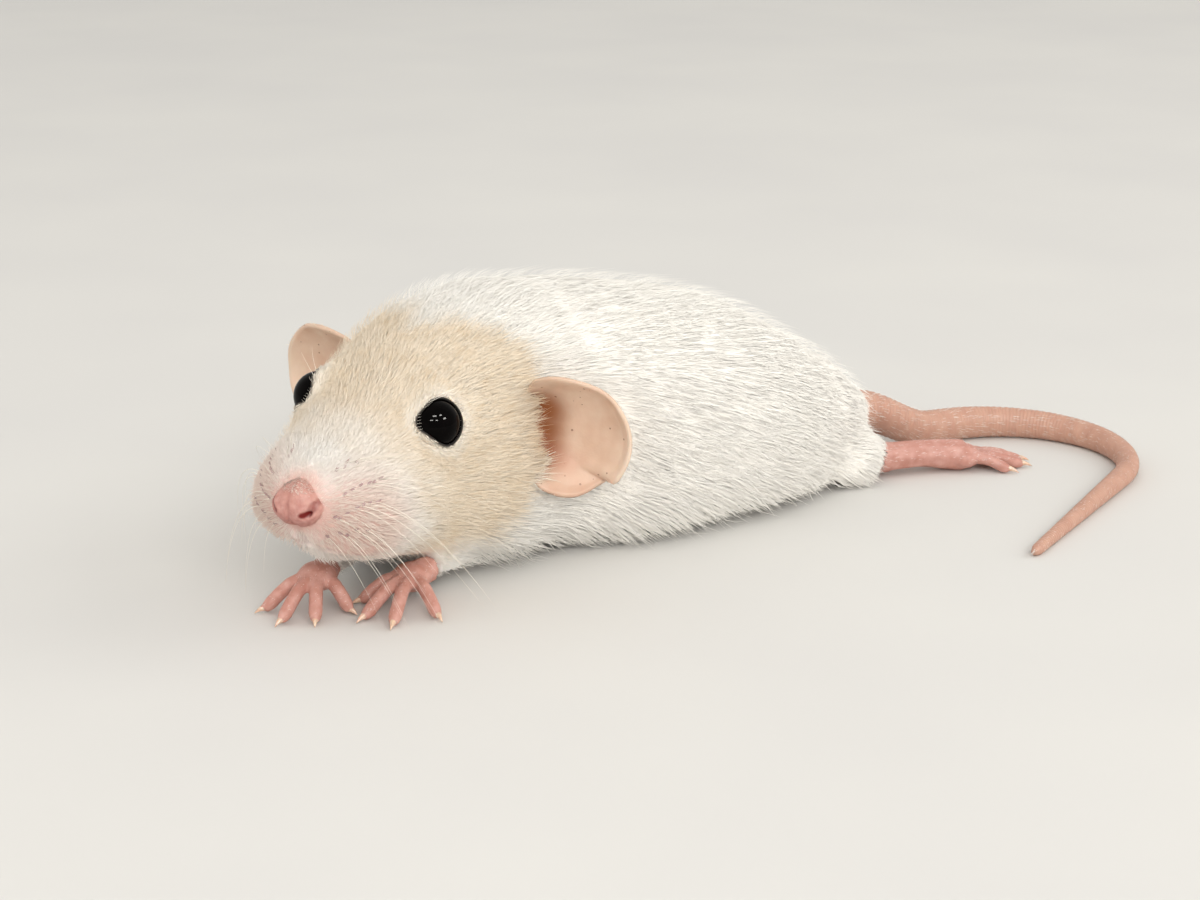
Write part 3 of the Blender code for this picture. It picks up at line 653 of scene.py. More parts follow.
# %% [markdown]
# ## Markings
# This young rat has a cream hood on its crown and cheeks and is white elsewhere, with a whitish ring
# round each eye. The hood is described the way a breeder would: how far back its edge runs at each
# distance from the middle line, where it starts behind the whiskers, and how low it comes on the
# cheek. The skin and the coat both read this one description, so they agree everywhere.

# %% Markings


WAVES_SUMMED = 7


def waves(points, size, seed):
    """Gentle, aimless waviness about size millimetres long, the same at each run."""
    draw = np.random.default_rng(seed)
    total = np.zeros(len(points))
    for _ in range(WAVES_SUMMED):
        pitch = unit(draw.normal(size=3)) * 2 * math.pi / (size * draw.uniform(0.7, 1.6))
        total += np.sin(points @ pitch + draw.uniform(0, 6.3))
    return total / WAVES_SUMMED**0.5


def hood_at(points, s, left, height):
    """1 in the cream hood and 0 in the white."""
    side = np.abs(left)
    rear = np.interp(side, [0, 3, 8, 14, 18], [27.5, 30.0, 35.0, 42.5, 44.0])
    rear = np.where(height < 22, np.interp(height, [8, 14, 22], [29, 35, 43]), rear)
    front = np.interp(height, [8, 14, 19, 23, 26], [14.0, 13.0, 11.5, 9.5, 9.0])
    low = np.interp(s, [12, 20, 28, 34, 42], [8.0, 6.5, 9.0, 13.0, 17.0])
    hood = smooth(-5.5, 6.0, s - front + 0.8 * waves(points, 4, 2))
    hood *= 1 - smooth(-3.8, 3.4, s - rear + 1.2 * waves(points, 5, 3))
    hood *= smooth(-3.8, 4.0, height - low + 0.9 * waves(points, 5, 4))
    return hood * (1 - 0.35 * (1 - smooth(0.7, 2.2, lid_gap(points))))


hood = hood_at(points, s, left, height)
near_nose = distance_to(points, [spot(*NOSE_AT)])
PADS = [spot(4.5, side * 7.0, 15.5) for side in (1, -1)]
whisker_pad = 1 - smooth(3.5, 10.0, distance_to(points, PADS))
thin_coat = (1 - smooth(6, 18, s)) * (0.12 + 0.88 * whisker_pad)
thin_coat = np.maximum(thin_coat, 0.9 * (1 - smooth(3.2, 6.0, near_nose)))
from_lids = lid_gap(points)

# %% [markdown]
# ## Materials
# Each material is named for the real thing. Colours are sRGB hex codes, and one function turns them
# linear. One more adds a node with its settings and its links. Two things are then built often from
# several nodes: a colour that is never quite even, as nothing alive is, and colours laid over each
# other where numbers painted on the mesh say so.

# %% Material helpers


def srgb(code):
    """A hex colour as linear red, green, blue and alpha."""
    parts = [int(code[k : k + 2], 16) / 255 for k in (1, 3, 5)]
    return (*[c / 12.92 if c <= 0.04045 else ((c + 0.055) / 1.055) ** 2.4 for c in parts], 1.0)


def add_node(tree, kind, inputs=None, **settings):
    """A node with its settings, and its inputs linked or filled in."""
    node = tree.nodes.new("ShaderNode" + kind)
    for key, value in settings.items():
        setattr(node, key, value)
    for socket, value in (inputs or {}).items():
        if isinstance(value, bpy.types.NodeSocket):
            tree.links.new(value, node.inputs[socket])
        else:
            node.inputs[socket].default_value = value
    return node


def new_material(name, **shader_values):
    """A material with its Principled shader set, and the tree and shader to build on."""
    made = bpy.data.materials.new(name)
    made.use_nodes = True
    shader = made.node_tree.nodes["Principled BSDF"]
    for key, value in shader_values.items():
        shader.inputs[key.replace("_", " ")].default_value = value
    return made, made.node_tree, shader


def clouds(tree, millimetres, below, above, low=0.3, high=0.7, detail=3.0):
    """A colour that drifts between two, in soft clouds about this many millimetres across."""
    where = add_node(tree, "TexCoord").outputs["Object"]
    noise = add_node(tree, "TexNoise", {"Vector": where, "Scale": 1 / (millimetres * MM), "Detail": detail})
    share = add_node(tree, "MapRange", {"Value": noise.outputs["Fac"], "From Min": low, "From Max": high})
    mix = add_node(tree, "Mix", {0: share.outputs["Result"], 6: below, 7: above}, data_type="RGBA")
    return mix.outputs[2]


def layered(tree, colour, layers):
    """A colour covered by others in turn, each where the number of its name is painted on the mesh."""
    for name, layer in layers:
        share = add_node(tree, "Attribute", attribute_name=name).outputs["Fac"]
        colour = add_node(tree, "Mix", {0: share, 6: colour, 7: layer}, data_type="RGBA").outputs[2]
    return colour


# %% [markdown]
# ## The skin's material
# Skin is one material with many colours in it: white or cream under the coat, a thin-haired pink on
# the muzzle, bare pink on nose, paws and tail, a tan leaf with brown specks for the ears, and black
# lids. Painted shade darkens it in places too: dark brown in each ear's hollow, a darker lower lobe,
# and dark red in the nostrils, beside their wings, along the cleft and in the mouth. Numbers painted
# on the mesh say where each is. A wet or scaly surface comes from the bump: tiny cobbles where the
# skin is bare, and rings along the tail.

# %% Skin material
WHITE_HAIR, CREAM_HAIR, TAN_HAIR = srgb("#fffdf8"), srgb("#f3e2ca"), srgb("#dec39d")
SPECK_SPACING, SPECK_RADIUS = 1.5, 0.11  # millimetres, and the radius as a share of them
COBBLE_SIZE, FINE_GRAIN, TAIL_SCALE = 0.34, 0.35, 0.6  # drawn a little coarser than real, to show at all
skin_look, tree, shader = new_material(
    "living_skin", Subsurface_Weight=0.1, Subsurface_Scale=0.0006, IOR=1.4, Specular_IOR_Level=0.22
)
shader.inputs["Subsurface Radius"].default_value = (1.0, 0.42, 0.25)
under_coat = layered(tree, srgb("#fefaf5"), [("hood", srgb("#f3e2c8")), ("thin", srgb("#dcb8ad"))])
mottled = clouds(tree, 1.6, srgb("#bc8679"), srgb("#cf9f94"), low=0.35)
tail_skin = clouds(tree, 2.2, srgb("#be9280"), srgb("#caa08d"))
mottled = layered(tree, mottled, [("tail", tail_skin)])
rosy = clouds(tree, 0.7, srgb("#b88078"), srgb("#cf9f95"))
leaf = clouds(tree, 2.4, srgb("#d8b7a0"), srgb("#e2c8b3"), high=0.75)
leaf = layered(tree, leaf, [("rim", srgb("#e6cfbb"))])
where = add_node(tree, "TexCoord").outputs["Object"]
specks = add_node(tree, "TexVoronoi", {"Vector": where, "Scale": 1 / (SPECK_SPACING * MM)})
specks = add_node(tree, "Math", {0: specks.outputs["Distance"], 1: SPECK_RADIUS}, operation="LESS_THAN")
specks = add_node(tree, "Math", {0: specks.outputs[0], 1: 0.7}, operation="MULTIPLY")
leaf = add_node(tree, "Mix", {0: specks.outputs[0], 6: leaf, 7: srgb("#7d5646")}, data_type="RGBA").outputs[2]
# Over the leaf: a pinker flush beside the lobe, painted shade darkening the lobe, and dark brown painted
# shade in the hollow.
leaf = layered(tree, leaf, [("pink_flush_and_lobe_shade", srgb("#c8977f")), ("ear_hollow_shade", srgb("#985528"))])
over_coat = [("bare", mottled), ("nose", rosy), ("ear", leaf)]
# Dark red: painted shadow in the nostrils and beside their wings, painted shade along the cleft and mouth,
# and the redder lower edge of the nose pad.
over_coat += [("red", srgb("#74201d")), ("lid", srgb("#0d0908"))]
tree.links.new(layered(tree, under_coat, over_coat), shader.inputs["Base Color"])

# %% Surface of the skin
PAINTED = ("lid", "bare", "tail", "tail_t")
lid, bare_share, tail_share, along_tail = (
    add_node(tree, "Attribute", attribute_name=name).outputs["Fac"] for name in PAINTED
)
matt = add_node(tree, "MapRange", {"Value": lid, "To Min": 0.46, "To Max": 0.85})
tree.links.new(matt.outputs["Result"], shader.inputs["Roughness"])
cobbles = add_node(tree, "TexVoronoi", {"Vector": where, "Scale": 1 / (COBBLE_SIZE * MM)})
cobbles = add_node(tree, "Math", {0: cobbles.outputs["Distance"], 1: bare_share}, operation="MULTIPLY")
fine = add_node(tree, "TexNoise", {"Vector": where, "Scale": 1 / (FINE_GRAIN * MM), "Detail": 4.0})
relief = add_node(tree, "Math", {0: fine.outputs["Fac"], 1: cobbles.outputs[0]}, operation="ADD")
phase = add_node(tree, "Math", {0: along_tail, 1: 2 * math.pi / TAIL_SCALE}, operation="MULTIPLY")
scales = add_node(tree, "Math", {0: phase.outputs[0]}, operation="SINE")
scales = add_node(tree, "Math", {0: scales.outputs[0], 1: tail_share}, operation="MULTIPLY")
relief = add_node(tree, "Math", {0: scales.outputs[0], 1: relief.outputs[0]}, operation="ADD")
bump = add_node(tree, "Bump", {"Height": relief.outputs[0], "Strength": 0.3, "Distance": 0.0001})
tree.links.new(bump.outputs["Normal"], shader.inputs["Normal"])

# %% [markdown]
# ## Painting the skin
# Each point of the skin gets a few numbers: whether it is bare, part of an ear, how deep in the ear's
# hollow, where painted shade darkens it, and so on. They are blurred a little along the surface, since
# no edge on a body is hard.

# %% Paint coat and ears


def paint(piece, name, values):
    """A number for each point of a piece, which its material can read."""
    attribute = piece.data.attributes.new(name, "FLOAT", "POINT")
    attribute.data.foreach_set("value", np.asarray(values, np.float32))


def blurred(values, rounds):
    """Numbers of the skin's points, spread along the surface."""
    return relaxed(values[:, None], edges, 0.7, rounds)[:, 0]


CONCHAS = [spot(38.8, side * 14.6, 20.2) for side in (1, -1)]  # the hollows that the ears open from
into_ear = distance_to(points, CONCHAS) + 2.0 * (s - 42.5).clip(0)
ear_front = np.where((left >= 0)[:, None], np.array(EAR_FACING[1]), np.array(EAR_FACING[-1]))
towards_front = (normals * ear_front).sum(-1)
facing_front = smooth(-0.2, 0.3, towards_front)
bare = blurred(region["nose"] + region["paw"] + region["foot"] + region["tail"], 4).clip(0, 1)
ear = np.maximum(blurred(region["ear"], 3).clip(0, 1), (1 - smooth(3.4, 4.6, into_ear)) * facing_front)
EAR_ROOTS = [spot(EAR_AT[0], side * EAR_AT[1], EAR_AT[2]) for side in (1, -1)]
HOLLOWS = [spot(38.6, side * 14.5, high) for side in (1, -1) for high in (18.2, 20.4, 22.6)]
FLUSHES = [spot(40.4, side * 17.2, 16.1) for side in (1, -1)]  # pinker skin beside the lobe
pink_flush_and_lobe_shade = 0.7 * (1 - smooth(0.5, 4.6, distance_to(points, FLUSHES)))
# Painted shade: the lower lobe is darkened, as it lies back below its crease and gets less light.
pink_flush_and_lobe_shade = np.maximum(pink_flush_and_lobe_shade, 0.42 * (1 - smooth(12.5, 17.0, height)))  # and darker over the lobe itself, as painted shade
paint(skin, "hood", hood)
paint(skin, "thin", thin_coat)
paint(skin, "bare", bare)
paint(skin, "ear", ear)
# Painted shade: dark brown deepening into each ear's hollow, on the leaf's front face.
paint(skin, "ear_hollow_shade", (1 - smooth(1.3, 5.0, distance_to(points, HOLLOWS))) * ear * facing_front)
paint(skin, "pink_flush_and_lobe_shade", pink_flush_and_lobe_shade * ear)
paint(skin, "rim", smooth(13.2, 16.2, distance_to(points, EAR_ROOTS)) * ear)

# %% Paint nose, mouth and lids
rosy_share = blurred(region["nose"], 30) * (1 - 0.75 * smooth(17.8, 20.6, height))
glow = 0.42 * (1 - smooth(2.8, 5.4, near_nose)) * (1 - 0.5 * smooth(18.0, 20.5, height))
paint(skin, "nose", np.maximum(rosy_share, glow))


def seen_from_front(knots, width):
    """1 on a bent line of the nose and 0 beyond its width, however deep the point lies."""
    nearest = np.full(len(points), 1e9)
    flat = points - np.outer(points @ np.array(inward), inward)
    for a, b in zip(knots, knots[1:]):
        a, b = (np.array(end - inward * end.dot(inward)) for end in (a, b))
        t = ((flat - a) @ (b - a) / ((b - a) @ (b - a))).clip(0, 1)
        nearest = np.minimum(nearest, np.linalg.norm(flat - a - t[:, None] * (b - a), axis=1))
    return (1 - smooth(width * 0.4, width, nearest)) * region["nose"] * (s < 4)


NOSTRIL_WIDTH = 0.6
# Painted shadow: dark red deep in each nostril, and half as strong along its curl beside the wing.
red = [seen_from_front(knots[:2], NOSTRIL_WIDTH) for knots in NOSTRILS]
red += [0.5 * seen_from_front(knots, NOSTRIL_WIDTH) for knots in NOSTRILS]
red += [0.3 * (1 - smooth(15.6, 17.6, height)) * region["nose"]]
# Painted shade: dark red along the cleft of the pad and in the grooves of the lip and mouth.
red += [0.25 * np.exp(-((left / 0.25) ** 2)) * region["nose"] * (s < 1.0), 0.25 * lip_line]
paint(skin, "red", np.max(red, axis=0))
on_ball = 1 - smooth(EYE_RADIUS + 0.1, EYE_RADIUS + 0.2, distance_to(points, EYES.values()))
paint(skin, "lid", np.maximum(1 - smooth(-0.1, 0.65, from_lids), on_ball))

# %% [markdown]
# ## The tail's rings
# Rings of scales need to know how far along the tail they are. Each point of the tail looks for the
# nearest place on the middle line, and keeps its distance along it, and the way that the tail runs
# there for the down to follow.

# %% Paint the tail and finish the skin
tail_marks = np.arange(0, TAIL_LENGTH, 0.5)
tail_line = np.array([list(tail_point(mark)) for mark in tail_marks])
tail_t, tail_way = np.zeros(len(points)), np.zeros((len(points), 3))
on_tail = np.flatnonzero(region["tail"])
for some in np.array_split(on_tail, 8):
    to_line = points[some, None] - tail_line[None]
    nearest = (to_line**2).sum(-1).argmin(1)
    following, previous = np.minimum(nearest + 1, len(tail_line) - 1), np.maximum(nearest - 1, 0)
    ahead = unit(tail_line[following] - tail_line[previous])
    tail_t[some] = tail_marks[nearest] + ((points[some] - tail_line[nearest]) * ahead).sum(-1)
    tail_way[some] = ahead
paint(skin, "tail", blurred(region["tail"], 4).clip(0, 1))
paint(skin, "tail_t", tail_t)
skin.data.transform(Matrix.Scale(MM, 4))
skin.data.shade_smooth()
skin.data.materials.clear()
skin.data.materials.append(skin_look)
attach(skin, "root")
flesh_nodes = [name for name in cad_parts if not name.startswith("eye")]
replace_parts(skin, *flesh_nodes)

# %% [markdown]
# ## Eyes
# The eyes are glossy black balls drawn out a little to the corner near the nose, under the lids.
# Their only detail is what they reflect, so the surface is very smooth.

# %% Eyes
eye_look, tree, shader = new_material("wet_black_eye", Roughness=0.03, IOR=1.38, Specular_IOR_Level=0.07)
tint = clouds(tree, 1.2, srgb("#030202"), srgb("#080505"), low=0.4, high=0.8)
tree.links.new(tint, shader.inputs["Base Color"])


CORNER_TURN, CORNER_REACH = math.radians(37), 0.25


def make_eye(name, side, centre):
    """One eyeball, drawn out a little towards the corner of the lids."""
    gaze, forward, upward = eye_axes(side)
    bm = bmesh.new()
    bmesh.ops.create_uvsphere(bm, u_segments=64, v_segments=40, radius=EYE_RADIUS)
    turn = gaze.to_track_quat("Z", "Y").to_matrix().to_4x4()
    bm.transform(Matrix.Translation(centre) @ turn)
    for vert in bm.verts:
        way_out = (vert.co - centre).normalized()
        corner = forward * math.cos(CORNER_TURN) + upward * math.sin(CORNER_TURN)
        toward = max(0.0, way_out.dot((corner + gaze * 0.2).normalized()))
        vert.co += corner * CORNER_REACH * toward**9
    eye = piece_from(name, bm)
    eye.data.transform(Matrix.Scale(MM, 4))
    eye.data.shade_smooth()
    eye.data.materials.append(eye_look)
    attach(eye, "root")
    return eye


for side, sign in SIDES:
    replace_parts(make_eye(f"eyeball_{side}", sign, EYES[side]), f"eye_{side}")

# %% [markdown]
# ## Claws
# Each claw is a little horn cone that curves down from the tip of its toe. They stay pieces of their
# own, one joined mesh for each paw, because horn is harder and shinier than skin.

# %% Claws
horn_look, tree, shader = new_material("pale_horn", Roughness=0.32, Subsurface_Weight=0.15, IOR=1.5)
shader.inputs["Subsurface Scale"].default_value = 0.0004
pale_horn = clouds(tree, 0.5, srgb("#cfa88e"), srgb("#e6cbb4"))
tree.links.new(pale_horn, shader.inputs["Base Color"])
FORE_TOES = {  # the palm, and where each toe's tip is, behind the nose tip and to the left
    "left": ((19.0, 5.6, 3.3), ((14.2, 0.6), (9.2, 4.2), (9.0, 8.8), (14.0, 12.6))),
    "right": ((11.8, -4.4, 4.1), ((10.6, 1.4), (5.2, -0.6), (3.2, -4.6), (5.8, -9.0))),
}
HIND_TOES = ((-34.0, 4.6), (-15.0, 7.0), (0.0, 7.6), (15.0, 7.2), (36.0, 5.2))  # turn and length
FOOT_SPLAY, FOOT_LENGTH, TOE_TIP = 14.0, 14.0, 0.7
CLAW_RADII = (0.42, 0.47, 0.45, 0.4, 0.33, 0.24, 0.14, 0.035)  # from inside the toe to the point
CLAW_SUNK, CLAW_LENGTH = 0.95, 2.45


def stand(s, left, height):
    """A point beside the back line that doesn't roll with the head."""
    yaw = float(yaw_at(s))
    x, y = np.interp(s, marks, line[:, 0]), np.interp(s, marks, line[:, 1])
    return Vector((x + math.sin(yaw) * left, y - math.cos(yaw) * left, height))


def toes_of(limb, side):
    """The root and the tip of each toe, and how far its knuckle rises."""
    if limb == "forepaw":
        palm, tips = FORE_TOES[side]
        for s, left in tips:
            tip = stand(s, left, TOE_TIP)
            out = (tip - stand(*palm)).normalized()
            yield stand(*palm) + Vector((out.x, out.y, 0)) * 1.2, tip, 0.9
        return
    sign = 1 if side == "left" else -1
    ankle = ANKLES[0 if side == "left" else 1]

    def turned(fan):
        """The way that a toe points, for its turn from the middle of the foot."""
        angle = math.radians(FOOT_SPLAY + fan)
        return way(111.0, math.cos(angle), sign * math.sin(angle), 0)

    ball = ankle + turned(0) * FOOT_LENGTH
    for fan, length in HIND_TOES:
        root, tip = ball + turned(fan) * 1.6, ball + turned(fan) * (length + 2.4)
        root.z, tip.z = 1.9, TOE_TIP
        yield root, tip, 0.5


def joined(name, parts):
    """Several small pieces as one mesh."""
    bm = bmesh.new()
    for part in parts:
        bm.from_mesh(part.data)
        bpy.data.objects.remove(part)
    return piece_from(name, bm)


def dress(piece, look):
    """The last step of a small piece: metres, smooth shading, material, body and slot."""
    piece.data.transform(Matrix.Scale(MM, 4))
    piece.data.shade_smooth()
    piece.data.materials.append(look)
    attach(piece, "root")
    return piece


for limb in ("forepaw", "hindfoot"):
    for side in ("left", "right"):
        cones = []
        for root, tip, rise in toes_of(limb, side):
            pad = root.lerp(tip, 0.86) + Vector((0, 0, rise * 0.12))
            out = (tip - pad).normalized()
            knots = []
            for k, radius in enumerate(CLAW_RADII):
                t = k / (len(CLAW_RADII) - 1)
                knot = tip + out * (-CLAW_SUNK + CLAW_LENGTH * t)
                knot.z = max(tip.z + 0.12 + 0.5 * t - 1.0 * t * t, radius + 0.02)  # clear of the floor
                knots.append(knot)
            cones.append(tube("claw", knots, CLAW_RADII, 12))
        dress(joined(f"claws_{limb}_{side}", cones), horn_look)

# %% [markdown]
# ## The lie of the coat
# Fur streams from the nose to the tail, parts round the eyes and falls on the flanks. One direction
# for each point of the skin is enough: the way to the back, pulled flat onto the surface, turned where
# the real coat turns, and smoothed.

# %% Lie
back, _, up = axes_at(s)
flank = smooth(9, 19, np.abs(left)) * smooth(30, 60, s)
lie = back - up * (0.42 * flank + 0.3 * smooth(98, 112, s))[:, None]
lie -= up * (0.35 * (1 - smooth(3, 9, height)) * smooth(20, 40, s))[:, None]
from_nose = unit(points - np.array(spot(3.0, 0, 17.0)))
front = (1 - smooth(3, 13, s))[:, None]
lie = lie * (1 - front) + from_nose * front
lie -= normals * (lie * normals).sum(-1, keepdims=True)
eye_spots = np.array([list(EYES["left"]), list(EYES["right"])])
nearest_eye = eye_spots[(left < 0).astype(int)]
to_eye = nearest_eye - points
eye_gap = np.linalg.norm(to_eye, axis=1)
to_eye /= eye_gap[:, None]
near_eye = np.exp(-((from_lids / 2.0).clip(0) ** 2))
toward = (unit(lie) * to_eye).sum(-1).clip(0)
lie = unit(lie) - to_eye * (near_eye * (1.15 * toward + 0.25))[:, None]
side_of = (left < 0).astype(int)
for part, roots in (("ear", EAR_ROOTS), ("paw", WRISTS), ("foot", ANKLES)):
    on_part = region[part] > 0.5
    lie[on_part] = (points - np.array([list(root) for root in roots])[side_of])[on_part]
lie[on_tail] = tail_way[on_tail]
lie = unit(relaxed(unit(lie), edges, 0.6, 5))
lie = unit(lie - normals * (lie * normals).sum(-1, keepdims=True))

# %% [markdown]
# ## Length, lift, width and number
# Hair is shortest and densest on the face and longest on the back. It stands up more under the cheek
# and at the front of the ear, where it reaches over the hollow, and it is very short by the lids and
# the nose. Each of the four measures starts from a short table along the body, and is then changed
# where the real coat changes.

# %% Length, lift and width
LENGTH_PLACES = [0, 3, 8, 14, 22, 34, 46, 60, 80, 100, 113]  # behind the nose tip
LENGTHS = [0.8, 1.2, 1.8, 2.4, 3.0, 3.9, 5.0, 5.8, 6.2, 6.4, 3.5]
LIFT_PLACES, LIFTS = [0, 10, 20, 30, 40, 60, 113], [22, 18, 15, 16, 13, 8.5, 8.5]  # degrees
WIDTH_PLACES, WIDTHS = [0, 10, 30, 50, 70], [0.08, 0.09, 0.11, 0.135, 0.15]
length = np.interp(s, LENGTH_PLACES, LENGTHS)
length *= 0.3 + 0.7 * smooth(0.3, 4.4, from_lids)
ear_edge = 1 - smooth(4.5, 8.0, into_ear)
length *= 1 + 0.05 * ear_edge
limb = 1 - smooth(4, 11, distance_to(points, WRISTS + ANKLES))
length *= 1 - 0.6 * limb
lift = np.radians(np.interp(s, LIFT_PLACES, LIFTS))
fringe = smooth(20, 30, s) * (1 - smooth(62, 78, s)) * (1 - smooth(8, 14, height))  # under cheek and neck
length *= 1 + 0.25 * fringe
lift += np.radians(9) * fringe + np.radians(9) * ear_edge
width = np.interp(s, WIDTH_PLACES, WIDTHS) * (1 - 0.3 * limb)
length *= 1 - 0.55 * (1 - smooth(3.0, 5.6, near_nose))
width *= 1 - 0.4 * (1 - smooth(3.0, 6.0, near_nose))

# %% Number of tufts
DENSITY_PLACES = [0, 8, 20, 34, 48, 66, 113]
DENSITIES = [29, 27, 23, 19.5, 16, 13.8, 13.8]  # tufts for each square millimetre
density = np.interp(s, DENSITY_PLACES, DENSITIES)
haired = 1 - blurred(sum(region[name] for name in REGIONS if name not in ("lid", "nose")), 1).clip(0, 1)
haired = np.minimum(haired, 1 - region["nose"] * (1 - smooth(18.9, 20.3, height)))
density *= smooth(0.6, 1.0, haired) * smooth(0.1, 0.5, from_lids) * smooth(3.2, 4.2, into_ear)
density *= 1 - 0.35 * whisker_pad
above_nose = smooth(18.2, 20.0, height)
density *= smooth(2.6, 4.2, near_nose + 1.6 * above_nose)
density *= 1 - (normals[:, 2] < -0.75) * (points[:, 2] < 3.0)  # none on the flats that it rests on
density *= 1 - 0.75 * smooth(0.2, 0.7, -normals[:, 2])
density *= (1 - line_share(CLEFT, 0.7)) * (1 - 0.85 * smooth(0.5, 1.0, lip_line))

# %% [markdown]
# ## Down
# Ears, paws and tail look bare, but a fine, very short down covers them, and it catches the light along
# every edge. It grows like the coat, with its own sizes. The soles and the ear's inner face have none.

# %% Down
DOWN = {  # tufts for each square millimetre, length, width and lift in degrees
    "ear": (3.5, 0.75, 0.035, 20),
    "paw": (1.4, 0.6, 0.025, 12),
    "foot": (1.6, 0.7, 0.025, 12),
    "tail": (1.4, 1.2, 0.03, 14),
}
for part, (tufts, long, wide, steep) in DOWN.items():
    on_part = region[part] > 0.5
    length[on_part], width[on_part], lift[on_part] = long, wide, math.radians(steep)
    density[on_part] = tufts * smooth(-0.3, 0.3, normals[on_part, 2]) if part in ("paw", "foot") else tufts
density *= 1 - (region["ear"] > 0.5) * (towards_front > 0.15)
down = (sum(region[part] for part in DOWN) > 0.5).astype(float)

# %% [markdown]
# ## Sowing the roots
# Each triangle of the skin gets as many roots as its area and the density there ask for, at random
# places within it. A root remembers the triangle's three points and its share of each, so any number
# known at the skin's points can be read at the root.

# %% Sow the roots
skin.data.calc_loop_triangles()
corners = np.empty(len(skin.data.loop_triangles) * 3, np.int32)
skin.data.loop_triangles.foreach_get("vertices", corners)
corners = corners.reshape(-1, 3)
first_side = points[corners[:, 1]] - points[corners[:, 0]]
second_side = points[corners[:, 2]] - points[corners[:, 0]]
areas = np.linalg.norm(np.cross(first_side, second_side), axis=1) / 2


def sow(weight, draw):
    """Roots spread over the skin: for each, three points of the skin and their shares."""
    expected = areas * weight[corners].mean(1)
    count = draw.poisson(expected)
    chosen = np.repeat(np.arange(len(corners)), count)
    a, b = draw.random(len(chosen)), draw.random(len(chosen))
    over = a + b > 1
    a[over], b[over] = 1 - a[over], 1 - b[over]
    return corners[chosen], np.stack([1 - a - b, a, b], -1)


def at_roots(values, chosen, shares):
    """Numbers or rows known at the skin's points, read at the roots."""
    found = values[chosen]
    return (found * shares[..., None]).sum(1) if values.ndim > 1 else (found * shares).sum(1)


# %% [markdown]
# ## Tufts
# A tuft is a closed blade with three sides, two rings of points and a tip: ten triangles. Its root is
# sunk in the skin, and it rises and bends back as hair does. All tufts of a region are joined in one
# mesh, which is made straight from arrays because there are so many. Its normals lean only a little
# to the sides, so that light falls on the coat as a whole, and its map lays each tuft as a tiny patch
# at its root's place on an unwrap of the skin.

# %% Make tufts
BLADE = np.array([  # the triangles of one tuft
    (0, 1, 2), (0, 2, 5), (0, 5, 3), (2, 1, 4), (2, 4, 5), (1, 0, 3), (1, 3, 4),
    (3, 5, 6), (5, 4, 6), (4, 3, 6),
])
ACROSS = np.array([0.5, -0.5, 0, 0.5, -0.5, 0, 0])
UP_LENGTH = np.array([0, 0, 0, 0.5, 0.5, 0.5, 1])
BLADE_POINTS, BLADE_FACES, PATCH = len(UP_LENGTH), len(BLADE), 0.003
ROOT_LIFT, TIP_LIFT, DROOP = 1.4, 0.55, 0.03  # a tuft starts steeper than its lift and ends flatter
ROOT_DEPTH, FLOOR_CLEARANCE = 0.15, 0.06


def bent_blades(root, normal, lie, length, lift, width):
    """The points of each tuft and the way that each is shaded."""
    side = np.cross(normal, lie)
    rise, level = normal * np.sin(lift * ROOT_LIFT)[:, None], lie * np.cos(lift * ROOT_LIFT)[:, None]
    middle = root + (rise + level) * (length / 2)[:, None]
    rise, level = normal * np.sin(lift * TIP_LIFT)[:, None], lie * np.cos(lift * TIP_LIFT)[:, None]
    tip = middle + (rise + level) * (length / 2)[:, None] - np.array([0, 0, DROOP]) * length[:, None]
    half = side * (width / 2)[:, None]
    ridge = normal * (width * 0.42)[:, None]
    base = root - normal * ROOT_DEPTH
    lower = [base + half * 0.9, base - half * 0.9, base + ridge]
    upper = [middle + half, middle - half, middle + ridge]
    co = np.stack(lower + upper + [tip], 1)
    co[..., 2] = co[..., 2].clip(FLOOR_CLEARANCE)
    shade = np.stack([normal * 0.92 + side * 0.4, normal * 0.92 - side * 0.4, normal] * 2 + [normal], 1)
    return co, unit(shade)


def blades(name, grown, looks, unwrap, material):
    """One closed mesh of tufts, from their roots, normals, lie, length, lift and width."""
    co, shade = bent_blades(*grown)
    count = len(co)
    mesh = bpy.data.meshes.new(name)
    mesh.vertices.add(count * BLADE_POINTS)
    mesh.vertices.foreach_set("co", (co * MM).astype(np.float32).ravel())
    loops = (BLADE[None] + BLADE_POINTS * np.arange(count)[:, None, None]).ravel()
    mesh.loops.add(len(loops))
    mesh.loops.foreach_set("vertex_index", loops.astype(np.int32))
    mesh.polygons.add(count * BLADE_FACES)
    mesh.polygons.foreach_set("loop_start", np.arange(0, len(loops), 3, dtype=np.int32))
    piece = bpy.data.objects.new(name, mesh)
    bpy.context.scene.collection.objects.link(piece)
    for key, value in looks.items():
        paint(piece, key, np.repeat(value, BLADE_POINTS))
    paint(piece, "up_hair", np.tile(UP_LENGTH, count))
    patch = np.stack([UP_LENGTH - 0.5, ACROSS], -1) * PATCH
    uv = (unwrap[:, None] + patch[None]).clip(0, 1).reshape(-1, 2)[loops]
    mesh.uv_layers.new(name="OFBake").data.foreach_set("uv", uv.astype(np.float32).ravel())
    mesh.update(calc_edges=True)
    mesh.normals_split_custom_set_from_vertices(shade.reshape(-1, 3).tolist())
    mesh.materials.append(material)
    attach(piece, "root")
    print(f"{name}: {count} tufts, {count * BLADE_FACES} triangles")
    return piece


def from_least(values):
    """How far each value is on from the least to the greatest, column by column."""
    return (values - values.min(0)) / np.ptp(values, axis=0)


def on_map(across, up):
    """Places on the map, inside a narrow margin, for two shares from 0 to 1."""
    return 0.01 + 0.98 * np.stack([across, up], -1)
